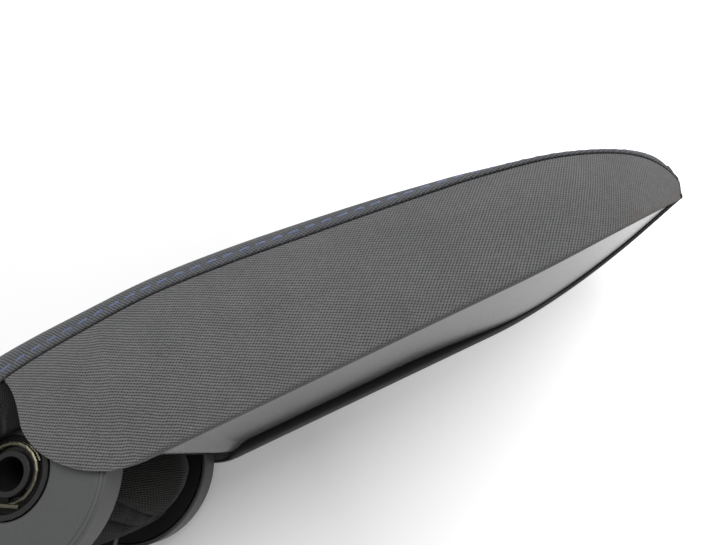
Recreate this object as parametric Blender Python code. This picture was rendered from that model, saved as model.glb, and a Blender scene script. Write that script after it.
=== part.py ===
"""Hinged armrest for the centre console of a car.

Metres, +Z up, nose towards +X. The origin is the middle of the bracket's foot, on the
face that sits on the console. The armrest swings about a steel tube that runs along Y.
Pad shapes are worked out from the tube's axis: x forward, y sideways, z up from the
lower edge of the side covers.
"""
from math import acos, asin, ceil, cos, pi, radians, sin, sqrt

import bmesh
import bpy
from mathutils import Vector

# Clearances between pieces that touch or run in each other
GAP = 0.0003
CUT_MARGIN = 0.002

# Where the hinge tube lies, seen from the middle of the foot
PIVOT_X = 0.052
PIVOT_HEIGHT = 0.080
PIVOT_ABOVE_LIPS = 0.0202

# Padded part: plan, side view and cross-section
PAD_HALF_WIDTH = 0.0605
NOSE_TIP = 0.339
NOSE_START = 0.2275
NOSE_ROUND_START = 0.3105
NOSE_LIFT = 0.0143
NOSE_FULLNESS = 0.95
NOSE_CLOSE = 0.97
NOSE_BLUNT = 0.0012
SEAM_POINTS = (
    (0.0, 0.066), (0.035, 0.0708), (0.076, 0.0728),
    (0.154, 0.0655), (0.250, 0.0528), (0.330, 0.0432),
)
CROWN_REAR = 0.0125
CROWN_NOSE = 0.0045
CROWN_FULLNESS = 2.5
LEAN_REAR = 0.0035
LEAN_FRONT = 0.0095
LEAN_CHANGE = 0.130
SIDE_BULGE = 0.0038
REAR_SWEEP_LENGTH = 0.054
REAR_SWEEP_HEIGHT = 0.062
FABRIC = 0.0014

# Lower edge, where the fabric turns under and up to the bottom cover
LIP_DEPTH = 0.0054
LIP_WIDTH = 0.0065
LIP_ROUND = 0.0018
LIP_CORNER_IN = 0.6
LIP_CORNER_UP = 0.25
LIP_FADE = 0.45

# Rear cover and the well that it is closed with
REAR_COVER_START = -0.0083
REAR_COVER_END = -0.032
REAR_FLAP_HEIGHT = 0.036
REAR_FLAP_FRONT = 0.0045
WELL_WALL = 0.0015
WELL_START = radians(-16)
WELL_END = radians(126)

# Hinge ears
EAR_RADIUS = 0.045
EAR_SETBACK = 0.0024
EAR_DEPTH = 0.0134
EAR_OUTER = PAD_HALF_WIDTH - EAR_SETBACK
EAR_INNER = EAR_OUTER - EAR_DEPTH
EAR_WALL = 0.0025
EAR_CHORD = 0.0235
EAR_EDGE_BEVEL = 0.0008
EAR_HOLE_RADIUS = 0.0188
LINER_THICKNESS = 0.0017
WELL_OVERHANG = 0.0053
WELL_HALF_WIDTH = EAR_INNER + WELL_OVERHANG

# Steel arms that carry the pad
ARM_THICKNESS = 0.003
ARM_DISC_RADIUS = 0.038
ARM_END = 0.150
ARM_LOW = 0.0106
ARM_HIGH = 0.033
ARM_SCREWS = (0.078, 0.107, 0.136)
SCREW_RADIUS = 0.0024
SCREW_HEAD_RADIUS = 0.0045
SCREW_HEAD_HEIGHT = 0.0016

# Base tray that the covers are wrapped round, and the smooth cover below it
TRAY_START = 0.0560
TRAY_END = 0.325
TRAY_FLOOR = 0.0025
TRAY_WALL = 0.0025
BOTTOM_START = 0.0547
BOTTOM_END = 0.327
BOTTOM_THICKNESS = 0.002
FOAM_END = 0.328

# Hinge tube, bushes, springs and clips
TUBE_RADIUS = 0.0096
TUBE_BORE = 0.0072
TUBE_END_DEPTH = 0.0011
TUBE_HALF_LENGTH = EAR_OUTER - TUBE_END_DEPTH
CLIP_GROOVE = 0.0007
CLIP_THICKNESS = 0.0012
CLIP_RADIUS = 0.0112
CLIP_MOUTH = radians(50)
BUSH_WALL = 0.0021
BUSH_FLANGE_RADIUS = 0.0146
BUSH_FLANGE = 0.0012
CUP_WALL = 0.0022
CUP_FLOOR = 0.0012
SPRING_WIRE = 0.0018
SPRING_RADIUS = 0.0126
SPRING_TURNS = 1.7
SPRING_PITCH = 0.00215

# Stop bar between the arms, and the bracket that it meets
STOP_BAR_RADIUS = 0.0035
STOP_BAR_ORBIT = 0.0285
SWING = radians(80)
HUB_RADIUS = 0.022
LEG_HALF_WIDTH = 0.014
LEG_ANGLE = radians(232)
HORN_REACH = 0.033
HORN_HEIGHT = 0.008
CHEEK_THICKNESS = 0.004
CHEEK_OUTER = 0.028
WEB_THICKNESS = 0.003
WEB_START = 0.027
FOOT_HALF_LENGTH = 0.046
FOOT_HALF_WIDTH = 0.044
FOOT_THICKNESS = 0.004
FOOT_CORNER = 0.008
FOOT_HOLE_RADIUS = 0.0034
FOOT_HOLE_FROM_END = 0.010
FOOT_HOLE_FROM_SIDE = 0.008

# Cloth gaiter between the ears
GAITER_THICKNESS = 0.0018
GAITER_START = radians(-13.5)
GAITER_END = radians(-97)
GAITER_FRONT_RADIUS = 0.0558
GAITER_TUCK_RADIUS = 0.0365
GAITER_SIDE_RADIUS = 0.0415
GAITER_BULGE = 0.0105
GAITER_FOLD = 0.0022

# How finely the shapes are divided
SIDE_ROWS = 7
CROWN_ROWS = 6
SWEEP_STEPS = 6
REAR_BAND_STEPS = 5
REAR_FLAP_STEPS = 3
BODY_STEPS = 8
NOSE_STEPS = 9
ROUND_STEPS = 36
SMALL_ROUND_STEPS = 26
SCREW_STEPS = 16
SPRING_STEPS = 20
GAITER_STEPS = 14
GAITER_ROWS = 12
CORNER_STEPS = 5
ARM_END_STEPS = 10


def clear_scene():
    for item in list(bpy.data.objects):
        bpy.data.objects.remove(item, do_unlink=True)


def make_material(name, colour, roughness, metallic=0.0):
    material = bpy.data.materials.new(name)
    material.use_nodes = True
    shader = material.node_tree.nodes["Principled BSDF"]
    shader.inputs["Base Color"].default_value = (*colour, 1.0)
    shader.inputs["Roughness"].default_value = roughness
    shader.inputs["Metallic"].default_value = metallic
    return material


def add_object(name, bm, material, carrier):
    """Turn a bmesh into an object that hangs on its carrier's empty."""
    mesh = bpy.data.meshes.new(name)
    bm.to_mesh(mesh)
    bm.free()
    mesh.shade_smooth()
    mesh.set_sharp_from_angle(angle=radians(35))
    if material is not None:
        mesh.materials.append(material)
    item = bpy.data.objects.new(name, mesh)
    bpy.context.scene.collection.objects.link(item)
    item.parent = carrier
    return item


def add_cutter(name, bm, carrier):
    item = add_object(name, bm, None, carrier)
    item.hide_render = True
    item.display_type = "WIRE"
    return item


def combine(target, other, operation):
    """Cut one closed shape out of another, or join them, with the exact solver."""
    modifier = target.modifiers.new(other.name, "BOOLEAN")
    modifier.operation = operation
    modifier.solver = "EXACT"
    modifier.object = other


def face_outwards(bm):
    bmesh.ops.recalc_face_normals(bm, faces=bm.faces[:])
    if bm.calc_volume(signed=True) < 0:
        bmesh.ops.reverse_faces(bm, faces=bm.faces[:])


def loft(loops):
    """Closed solid through loops with the same number of points, capped at both ends."""
    bm = bmesh.new()
    rings = [[bm.verts.new(point) for point in loop] for loop in loops]
    count = len(loops[0])
    for near, far in zip(rings, rings[1:]):
        for k in range(count):
            following = (k + 1) % count
            bm.faces.new((near[k], near[following], far[following], far[k]))
    bm.faces.new(rings[0])
    bm.faces.new(rings[-1])
    face_outwards(bm)
    return bm


def prism(outline, y_from, y_to):
    """Flat outline in the XZ plane, given thickness along Y."""
    return loft([[(x, y, z) for x, z in outline] for y in (y_from, y_to)])


def box(low, high):
    outline = ((low[0], low[2]), (high[0], low[2]), (high[0], high[2]), (low[0], high[2]))
    return prism(outline, low[1], high[1])


def arc(radius, start, end, centre=(0.0, 0.0), steps=None):
    steps = steps or max(2, ceil(abs(end - start) / (2 * pi) * ROUND_STEPS))
    return [
        (centre[0] + radius * cos(start + (end - start) * k / steps),
         centre[1] + radius * sin(start + (end - start) * k / steps))
        for k in range(steps + 1)
    ]


def circle(radius, centre=(0.0, 0.0), steps=ROUND_STEPS):
    return arc(radius, 0.0, 2 * pi, centre, steps)[:-1]


def turned(profile, steps=SMALL_ROUND_STEPS):
    """Ring with the closed profile (radius, y), turned about the hinge axis."""
    bm = bmesh.new()
    rings = []
    for k in range(steps):
        angle = 2 * pi * k / steps
        rings.append([bm.verts.new((r * cos(angle), y, r * sin(angle))) for r, y in profile])
    for k, ring in enumerate(rings):
        following = rings[(k + 1) % steps]
        for j in range(len(profile)):
            after = (j + 1) % len(profile)
            bm.faces.new((ring[j], ring[after], following[after], following[j]))
    face_outwards(bm)
    return bm


def skin(columns, rows, point, thickness, inside, keep=None, side=0):
    """Fabric over a grid of surface points, thickened towards the inside point.

    With side -1 or +1 the fabric stays on that side of the armrest's middle.
    """
    bm = bmesh.new()
    used = {}

    def vertex(i, j):
        if (i, j) not in used:
            used[i, j] = bm.verts.new(point(columns[i], rows[j], i, j))
        return used[i, j]

    for i in range(len(columns) - 1):
        for j in range(len(rows) - 1):
            if keep is None or keep(i, j):
                bm.faces.new((vertex(i, j), vertex(i + 1, j), vertex(i + 1, j + 1), vertex(i, j + 1)))
    bm.normal_update()
    outward = sum(face.normal.dot(face.calc_center_median() - Vector(inside)) for face in bm.faces)
    if outward < 0:
        bmesh.ops.reverse_faces(bm, faces=bm.faces[:])
        bm.normal_update()
    bmesh.ops.solidify(bm, geom=bm.faces[:], thickness=thickness)
    if side:
        for vert in bm.verts:
            if vert.co.y * side < GAP:
                vert.co.y = GAP * side
    face_outwards(bm)
    return bm


def spline(points, x):
    """Smooth curve through a few (x, z) points."""
    last = len(points) - 1
    k = 0
    while k < last - 1 and x > points[k + 1][0]:
        k += 1

    def slope(i):
        low = points[max(i - 1, 0)]
        high = points[min(i + 1, last)]
        return (high[1] - low[1]) / (high[0] - low[0])

    span = points[k + 1][0] - points[k][0]
    t = (x - points[k][0]) / span
    start = (2 * t**3 - 3 * t**2 + 1) * points[k][1] + (t**3 - 2 * t**2 + t) * span * slope(k)
    end = (3 * t**2 - 2 * t**3) * points[k + 1][1] + (t**3 - t**2) * span * slope(k + 1)
    return start + end


# Outer form of the padded part

def nose_share(x):
    return min(max((x - NOSE_START) / (NOSE_TIP - NOSE_START), 0.0), 1.0)


def half_width(x):
    return max(PAD_HALF_WIDTH * (1 - nose_share(x) ** 2) ** NOSE_FULLNESS, NOSE_BLUNT)


def lower_edge(x):
    return NOSE_LIFT * nose_share(x) ** 1.8


def lip_depth(x):
    return LIP_DEPTH * (1 - LIP_FADE * nose_share(x))


def lip_across(x):
    """Width of the turned-in lower edge, narrower at the very tip."""
    return min(LIP_WIDTH, half_width(x) * 0.75)


def seam_height(x):
    if x < 0:
        radius = SEAM_POINTS[0][1] - PIVOT_ABOVE_LIPS
        return PIVOT_ABOVE_LIPS + sqrt(radius**2 - x**2)
    height = spline(SEAM_POINTS, x)
    rounding = (x - NOSE_ROUND_START) / (NOSE_TIP - NOSE_ROUND_START)
    if rounding > 0:
        share = (1 - min(rounding, NOSE_CLOSE) ** CROWN_FULLNESS) ** (1 / CROWN_FULLNESS)
        height = lower_edge(x) + (height - lower_edge(x)) * share
    return height


def crown_height(x):
    share = min(max(x / NOSE_TIP, 0.0), 1.0)
    return CROWN_REAR + (CROWN_NOSE - CROWN_REAR) * share


def side_width(x, z):
    """Half width of the side cover at height z: it bulges, then leans in towards the seam."""
    fore = min(max((x - EAR_RADIUS) / LEAN_CHANGE, 0.0), 1.0)
    lean = LEAN_REAR + (LEAN_FRONT - LEAN_REAR) * fore**2 * (3 - 2 * fore)
    share = half_width(x) / PAD_HALF_WIDTH
    tall = max(seam_height(x) - lower_edge(x), GAP)
    part = min(max((z - lower_edge(x)) / tall, 0.0), 1.0)
    return share * (PAD_HALF_WIDTH - lean * part + 4 * SIDE_BULGE * part * (1 - part))


def crown_point(x, turn, inset=0.0):
    """Point of the top, from the seam at turn 0 to the middle at turn 1."""
    angle = turn * pi / 2
    width = side_width(x, seam_height(x)) - inset
    height = crown_height(x) - inset
    power = 2 / CROWN_FULLNESS
    return width * cos(angle) ** power, seam_height(x) + height * sin(angle) ** power


def rear_sweep(x):
    """Height of the side cover's round rear lower corner above its straight edge."""
    if x >= REAR_SWEEP_LENGTH:
        return 0.0
    share = min((REAR_SWEEP_LENGTH - x) / REAR_SWEEP_LENGTH, 1.0)
    return REAR_SWEEP_HEIGHT * (1 - sqrt(1 - share**2))


def side_start(x):
    return lower_edge(x) + LIP_ROUND + rear_sweep(x)


def to_pivot(x, y, z):
    """From the pad's heights, counted from the lower edge, to the hinge axis."""
    return x, y, z - PIVOT_ABOVE_LIPS


def cover_inset(x):
    """Room for the cover, measured across: more where the surface slants fore and aft."""
    slant = nose_share(x) + min(max(x / REAR_COVER_END, 0.0), 1.0)
    return (FABRIC + GAP) * (1 + 1.2 * slant)


def rear_columns():
    span = REAR_COVER_START - REAR_COVER_END
    return [REAR_COVER_END + span * k / REAR_BAND_STEPS for k in range(REAR_BAND_STEPS + 1)]


def sweep_columns():
    top = radians(84)
    return [REAR_SWEEP_LENGTH * (1 - sin(top - top * k / SWEEP_STEPS)) for k in range(SWEEP_STEPS)]


def body_columns():
    span = NOSE_START - REAR_SWEEP_LENGTH
    return [REAR_SWEEP_LENGTH + span * k / BODY_STEPS for k in range(BODY_STEPS)]


def nose_columns(end=None):
    """Places along the nose, the same for every piece so that their faces follow each other."""
    span = NOSE_TIP - NOSE_START
    places = [NOSE_START + span * sin(pi / 2 * k / NOSE_STEPS) for k in range(NOSE_STEPS + 1)]
    places += [TRAY_END, BOTTOM_END, FOAM_END]
    return [x for x in sorted(places) if end is None or x <= end]


def build_side_cover(name, side, material, carrier):
    """Woven side panel: its lower edge turns under the tray and up to the bottom cover."""
    columns = sweep_columns() + body_columns() + nose_columns()
    fold_rows = 5

    def fold_point(x, j):
        width = side_width(x, side_start(x))
        across = lip_across(x)
        low = lower_edge(x)
        path = (
            (width - across, low + lip_depth(x) - GAP),
            (width - across, low + LIP_ROUND),
            (width - across + LIP_ROUND * LIP_CORNER_IN, low + LIP_ROUND * LIP_CORNER_UP),
            (width - across / 2, low),
            (width - LIP_ROUND * LIP_CORNER_IN, low + LIP_ROUND * LIP_CORNER_UP),
        )
        return path[j]

    def point(x, row, i, j):
        if j < fold_rows:
            y, z = fold_point(x, j)
        else:
            share = (j - fold_rows) / SIDE_ROWS
            z = side_start(x) + (seam_height(x) - GAP / 2 - side_start(x)) * share
            y = side_width(x, z)
        if x == columns[-1]:
            y = GAP
        return to_pivot(x, side * max(y, GAP), z)

    def keep(i, j):
        roomy = i + 1 < len(columns) and lip_across(columns[i + 1]) > 3 * FABRIC
        return j >= fold_rows or (columns[i] >= REAR_SWEEP_LENGTH - GAP and roomy)

    rows = range(fold_rows + SIDE_ROWS + 1)
    inside = to_pivot(NOSE_START / 2, 0.0, seam_height(NOSE_START / 2) / 2)
    bm = skin(columns, rows, point, FABRIC, inside, keep, side)
    return add_object(name, bm, material, carrier)


def build_top_cover(material, carrier):
    """Woven top panel, rolled over the seams on both sides."""
    rear = [REAR_COVER_START + GAP, REAR_COVER_START / 2]
    columns = rear + sweep_columns() + body_columns() + nose_columns()
    rows = range(2 * CROWN_ROWS + 1)

    def point(x, row, i, j):
        turn = j / CROWN_ROWS
        side = -1 if turn < 1 else 1
        y, z = crown_point(x, min(turn, 2 - turn))
        return to_pivot(x, side * y, z + GAP / 2)

    inside = to_pivot(NOSE_START / 2, 0.0, 0.0)
    return add_object("top_cover", skin(columns, rows, point, FABRIC, inside), material, carrier)


def build_rear_cover(material, carrier):
    """Dark cloth over the back of the pad and the upper part of both ears."""
    band = rear_columns()
    band_steps = len(band) - 1
    flap = [0.0, GAP] + [REAR_FLAP_FRONT * k / REAR_FLAP_STEPS for k in range(1, REAR_FLAP_STEPS + 1)]
    columns = band + flap
    count = 2 * (SIDE_ROWS + CROWN_ROWS)

    def top_of_side(x):
        if x > GAP / 2:
            return side_start(x + GAP) - 2 * GAP
        return seam_height(x)

    def point(x, row, i, j):
        low = min(j, count - j)
        side = -1 if j <= count / 2 else 1
        if low <= SIDE_ROWS:
            z = REAR_FLAP_HEIGHT + (top_of_side(x) - REAR_FLAP_HEIGHT) * low / SIDE_ROWS
            y = side_width(x, z)
        else:
            y, z = crown_point(x, (low - SIDE_ROWS) / CROWN_ROWS)
        return to_pivot(x, side * y, z)

    def keep(i, j):
        return i < band_steps or j < SIDE_ROWS or j >= count - SIDE_ROWS

    inside = to_pivot(0.0, 0.0, PIVOT_ABOVE_LIPS)
    bm = skin(columns, range(count + 1), point, FABRIC, inside, keep)
    return add_object("rear_cover", bm, material, carrier)


def build_foam(material, carrier):
    """Moulded foam block on the tray, hollowed for the hinge well and the arms."""
    count = SIDE_ROWS
    loops = []
    for x in rear_columns()[1:] + sweep_columns() + body_columns() + nose_columns(FOAM_END):
        inset = cover_inset(x)
        low = lower_edge(x) + lip_depth(x) + BOTTOM_THICKNESS + TRAY_FLOOR + 3 * GAP
        low = max(low, min(side_start(x) + inset, REAR_FLAP_HEIGHT))
        half = []
        for k in range(count):
            z = low + (seam_height(x) - GAP - low) * k / count
            half.append((side_width(x, z) - inset, z))
        for k in range(CROWN_ROWS + 1):
            half.append(crown_point(x, k / CROWN_ROWS, inset + FABRIC / 2))
        ring = [(-y, z) for y, z in half] + [(y, z) for y, z in reversed(half[:-1])]
        loops.append([to_pivot(x, y, z) for y, z in ring])
    foam = add_object("foam_core", loft(loops), material, carrier)
    well = prism(circle(EAR_RADIUS + WELL_WALL + 2 * GAP), -2 * PAD_HALF_WIDTH, 2 * PAD_HALF_WIDTH)
    combine(foam, add_cutter("well_cutter", well, carrier), "DIFFERENCE")
    screw_end = arm_inner() - SCREW_HEAD_HEIGHT - 2 * GAP
    for side, label in ((-1, "right"), (1, "left")):
        faces = sorted((side * screw_end, side * (arm_outer() + TRAY_WALL + 2 * GAP)))
        low = to_pivot(0.0, faces[0], 0.0)
        high = to_pivot(ARM_END + TRAY_WALL + GAP, faces[1], ARM_HIGH + 2 * GAP)
        combine(foam, add_cutter("arm_cutter_" + label, box(low, high), carrier), "DIFFERENCE")
    return foam


def arm_inner():
    return EAR_INNER + LINER_THICKNESS + GAP


def arm_outer():
    return arm_inner() + ARM_THICKNESS


def floor_height(x):
    """Underside of the tray's floor."""
    return lower_edge(x) + lip_depth(x) + BOTTOM_THICKNESS + GAP


def build_tray(material, carrier):
    """Moulded base: a floor with a rim that the covers turn round, and walls for the arms."""
    loops = []
    for x in [TRAY_START] + body_columns()[1:] + nose_columns(TRAY_END):
        inset = cover_inset(x)
        width = side_width(x, side_start(x))
        rim = lower_edge(x) + LIP_ROUND + FABRIC + GAP
        low = floor_height(x)
        high = low + TRAY_FLOOR
        outer = width - inset
        inner = width - lip_across(x) + FABRIC + GAP
        half = [(outer, high), (outer, rim), (inner, rim), (inner, low)]
        ring = half + [(-y, z) for y, z in reversed(half)]
        loops.append([to_pivot(x, y, z) for y, z in ring])
    tray = add_object("carrier_tray", loft(loops), material, carrier)
    base = floor_height(TRAY_START) + TRAY_FLOOR / 2
    for side, label in ((-1, "right"), (1, "left")):
        faces = sorted((side * (arm_outer() + GAP), side * (arm_outer() + GAP + TRAY_WALL)))
        low = to_pivot(TRAY_START + CUT_MARGIN, faces[0], base)
        high = to_pivot(ARM_END + TRAY_WALL, faces[1], ARM_HIGH)
        wall = add_cutter("tray_wall_" + label, box(low, high), carrier)
        combine(tray, wall, "UNION")
        for k, x in enumerate(ARM_SCREWS):
            ring = circle(SCREW_RADIUS + GAP, (x, screw_height()), SCREW_STEPS)
            hole = prism(ring, faces[0] - GAP, faces[1] + GAP)
            combine(tray, add_cutter("tray_hole_%s_%d" % (label, k), hole, carrier), "DIFFERENCE")
    return tray


def screw_height():
    """Height of the arm screws from the hinge axis."""
    return (ARM_LOW + ARM_HIGH) / 2 - PIVOT_ABOVE_LIPS


def build_bottom_cover(material, carrier):
    """Smooth moulded panel, set up between the turned-in lower edges."""
    loops = []
    for x in [BOTTOM_START] + body_columns()[1:] + nose_columns(BOTTOM_END):
        width = side_width(x, side_start(x)) - lip_across(x) - GAP * (1 + nose_share(x))
        low = lower_edge(x) + lip_depth(x)
        high = low + BOTTOM_THICKNESS
        ring = [(width, high), (width, low), (-width, low), (-width, high)]
        loops.append([to_pivot(x, y, z) for y, z in ring])
    return add_object("bottom_cover", loft(loops), material, carrier)


def build_well(material, carrier):
    """Half-round plastic trough that closes the foam off round the hinge."""
    inner = arc(EAR_RADIUS + GAP, WELL_START, WELL_END)
    outer = arc(EAR_RADIUS + GAP + WELL_WALL, WELL_END, WELL_START)
    shape = prism(inner + outer, -WELL_HALF_WIDTH, WELL_HALF_WIDTH)
    well = add_object("hinge_well", shape, material, carrier)
    for side, label in ((-1, "right"), (1, "left")):
        combine(well, arm_passage("well_passage_" + label, side, carrier), "DIFFERENCE")
    return well


def arm_passage(name, side, carrier):
    """Room for a steel arm to pass forward through a round wall."""
    faces = sorted((side * (arm_inner() - GAP), side * (arm_outer() + GAP)))
    low = to_pivot(ARM_DISC_RADIUS - CUT_MARGIN, faces[0], ARM_LOW - GAP)
    high = to_pivot(TRAY_START, faces[1], ARM_HIGH + GAP)
    return add_cutter(name, box(low, high), carrier)


def ear_outline(radius, chord):
    """Round outline with its top cut off straight, under the cloth."""
    angle = asin(chord / radius)
    return arc(radius, angle, -pi - angle)


def build_ear_cover(label, side, material, carrier):
    """Moulded cap of the hinge ear: face, rim and the round hole for the spring."""
    faces = sorted((side * EAR_INNER, side * EAR_OUTER))
    shape = prism(ear_outline(EAR_RADIUS, EAR_CHORD), *faces)
    ear = add_object("ear_cover_" + label, shape, material, carrier)
    bevel = ear.modifiers.new("edge", "BEVEL")
    bevel.width = EAR_EDGE_BEVEL
    bevel.segments = 2
    bevel.limit_method = "ANGLE"
    bevel.angle_limit = radians(50)
    hollow = ear_outline(EAR_RADIUS - EAR_WALL, EAR_CHORD - EAR_WALL)
    faces = sorted((side * (EAR_INNER - CUT_MARGIN), side * (EAR_OUTER - EAR_WALL)))
    combine(ear, add_cutter("ear_hollow_" + label, prism(hollow, *faces), carrier), "DIFFERENCE")
    faces = sorted((side * (EAR_OUTER - 2 * EAR_WALL), side * (EAR_OUTER + CUT_MARGIN)))
    hole = prism(circle(EAR_HOLE_RADIUS), *faces)
    combine(ear, add_cutter("ear_hole_" + label, hole, carrier), "DIFFERENCE")
    combine(ear, arm_passage("ear_passage_" + label, side, carrier), "DIFFERENCE")
    return ear


def stop_bar_angle():
    """Where the stop bar lies when the armrest is down, against the bracket's leg."""
    reach = LEG_HALF_WIDTH + STOP_BAR_RADIUS + GAP
    return LEG_ANGLE - 2 * pi + pi / 2 - acos(reach / STOP_BAR_ORBIT)


def stop_bar_centre(turn=0.0):
    angle = stop_bar_angle() + turn
    return STOP_BAR_ORBIT * cos(angle), STOP_BAR_ORBIT * sin(angle)


def build_liner(label, side, material, carrier):
    """Dark plate that closes the ear on its inner side."""
    faces = sorted((side * EAR_INNER, side * (EAR_INNER + LINER_THICKNESS)))
    outline = ear_outline(EAR_RADIUS - EAR_WALL - GAP, EAR_CHORD - EAR_WALL - GAP)
    liner = add_object("ear_liner_" + label, prism(outline, *faces), material, carrier)
    through = sorted((side * (EAR_INNER - CUT_MARGIN), side * (arm_inner() + CUT_MARGIN)))
    hole = prism(circle(TUBE_RADIUS + BUSH_WALL + 2 * GAP), *through)
    combine(liner, add_cutter("liner_hole_" + label, hole, carrier), "DIFFERENCE")
    hole = prism(circle(STOP_BAR_RADIUS + GAP, stop_bar_centre(), SMALL_ROUND_STEPS), *through)
    combine(liner, add_cutter("liner_bar_hole_" + label, hole, carrier), "DIFFERENCE")
    return liner


def build_arm(label, side, material, carrier):
    """Steel arm: a disc round the hinge tube and a bar that runs forward along the tray."""
    faces = sorted((side * arm_inner(), side * arm_outer()))
    through = (faces[0] - CUT_MARGIN, faces[1] + CUT_MARGIN)
    low = ARM_LOW - PIVOT_ABOVE_LIPS
    high = ARM_HIGH - PIVOT_ABOVE_LIPS
    nose = (high - low) / 2
    chord = asin((EAR_CHORD - EAR_WALL - GAP) / ARM_DISC_RADIUS)
    outline = arc(ARM_DISC_RADIUS, asin(high / ARM_DISC_RADIUS), chord)
    outline += arc(ARM_DISC_RADIUS, pi - chord, 2 * pi + asin(low / ARM_DISC_RADIUS))
    outline += arc(nose, -pi / 2, pi / 2, (ARM_END - nose, (low + high) / 2), ARM_END_STEPS)
    arm = add_object("hinge_arm_" + label, prism(outline, *faces), material, carrier)
    holes = [(TUBE_RADIUS + BUSH_WALL + 2 * GAP, (0.0, 0.0), ROUND_STEPS)]
    holes.append((STOP_BAR_RADIUS + GAP, stop_bar_centre(), SMALL_ROUND_STEPS))
    holes += [(SCREW_RADIUS + GAP, (x, screw_height()), SCREW_STEPS) for x in ARM_SCREWS]
    for k, (radius, centre, steps) in enumerate(holes):
        cutter = prism(circle(radius, centre, steps), *through)
        combine(arm, add_cutter("arm_hole_%s_%d" % (label, k), cutter, carrier), "DIFFERENCE")
    return arm


def build_screw(name, side, place, material, carrier):
    """Pan-head screw that holds an arm to the tray's wall."""
    seat = arm_inner() - GAP
    profile = (
        (SCREW_HEAD_RADIUS * 0.8, seat - SCREW_HEAD_HEIGHT),
        (SCREW_HEAD_RADIUS, seat - SCREW_HEAD_HEIGHT * 0.6),
        (SCREW_HEAD_RADIUS, seat),
        (SCREW_RADIUS, seat),
        (SCREW_RADIUS, arm_outer() + TRAY_WALL),
    )
    loops = [[(x, side * y, z) for x, z in circle(r, steps=SCREW_STEPS)] for r, y in profile]
    screw = add_object(name, loft(loops), material, carrier)
    screw.location = (place, 0.0, screw_height())
    return screw


def build_stop_bar(material, carrier):
    """Round steel bar between the arms: it meets the bracket at both ends of the swing."""
    reach = arm_outer() - GAP
    shape = prism(circle(STOP_BAR_RADIUS, steps=SMALL_ROUND_STEPS), -reach, reach)
    bar = add_object("stop_bar", shape, material, carrier)
    x, z = stop_bar_centre()
    bar.location = (x, 0.0, z)
    return bar


def bush_end():
    return arm_outer() + GAP + BUSH_FLANGE


def build_bush(label, side, material, carrier):
    """Flanged plastic bush between the hinge tube and the arm."""
    bore = TUBE_RADIUS + GAP
    sleeve = bore + BUSH_WALL
    profile = (
        (bore, EAR_INNER), (sleeve, EAR_INNER), (sleeve, arm_outer() + GAP),
        (BUSH_FLANGE_RADIUS, arm_outer() + GAP), (BUSH_FLANGE_RADIUS, bush_end()), (bore, bush_end()),
    )
    bm = turned([(r, side * y) for r, y in profile])
    return add_object("hinge_bush_" + label, bm, material, carrier)


def cup_floor_top():
    return bush_end() + GAP + CUP_FLOOR


def build_cup(label, side, material, carrier):
    """Dark cup behind the ear's hole, which the spring lies in."""
    outer = EAR_HOLE_RADIUS - GAP
    bore = TUBE_RADIUS + 2 * GAP
    profile = (
        (bore, bush_end() + GAP), (outer, bush_end() + GAP), (outer, EAR_OUTER - 2 * GAP),
        (outer - CUP_WALL, EAR_OUTER - 2 * GAP), (outer - CUP_WALL, cup_floor_top()), (bore, cup_floor_top()),
    )
    bm = turned([(r, side * y) for r, y in profile])
    return add_object("spring_cup_" + label, bm, material, carrier)


def build_spring(label, side, material, carrier):
    """Torsion spring of round wire: coil in the cup, with its outer end bent to the wall."""
    start = cup_floor_top() + GAP + SPRING_WIRE / 2
    steps = ceil(SPRING_TURNS * SPRING_STEPS)
    points = []
    for k in range(steps + 1):
        turn = SPRING_TURNS * k / steps
        angle = 2 * pi * turn
        y = side * (start + SPRING_PITCH * turn)
        points.append((SPRING_RADIUS * cos(angle), y, SPRING_RADIUS * sin(angle)))
    angle = 2 * pi * SPRING_TURNS
    wall = EAR_HOLE_RADIUS - GAP - CUP_WALL - GAP - SPRING_WIRE / 2
    points.append((wall * cos(angle + 0.45), points[-1][1], wall * sin(angle + 0.45)))
    curve = bpy.data.curves.new("torsion_spring_" + label, "CURVE")
    curve.dimensions = "3D"
    curve.bevel_depth = SPRING_WIRE / 2
    curve.bevel_resolution = 2
    curve.use_fill_caps = True
    line = curve.splines.new("POLY")
    line.points.add(len(points) - 1)
    for target, point in zip(line.points, points):
        target.co = (*point, 1.0)
    curve.materials.append(material)
    spring = bpy.data.objects.new("torsion_spring_" + label, curve)
    bpy.context.scene.collection.objects.link(spring)
    spring.parent = carrier
    return spring


def build_gaiter(material, carrier):
    """Cloth gaiter that hangs in soft folds between the ears and hides the bracket."""
    half = EAR_INNER - GAP
    span = GAITER_END - GAITER_START
    columns = [GAITER_START + span * k / GAITER_STEPS for k in range(GAITER_STEPS + 1)]

    def point(angle, row, i, j):
        y = half * (2 * j / GAITER_ROWS - 1)
        along = i / GAITER_STEPS
        middle = cos(pi / 2 * y / half)
        radius = GAITER_FRONT_RADIUS + (GAITER_SIDE_RADIUS - GAITER_FRONT_RADIUS) * min(along * 4, 1.0)
        radius += (GAITER_TUCK_RADIUS - GAITER_SIDE_RADIUS) * max(along - 0.25, 0.0) / 0.75
        radius += GAITER_BULGE * middle * sin(pi * min(along * 1.5, 1.0))
        radius += GAITER_FOLD * sin(3 * pi * along) ** 2 * middle
        return radius * cos(angle), y, radius * sin(angle)

    bm = skin(columns, range(GAITER_ROWS + 1), point, GAITER_THICKNESS, (0.0, 0.0, 0.0))
    return add_object("hinge_gaiter", bm, material, carrier)


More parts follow.
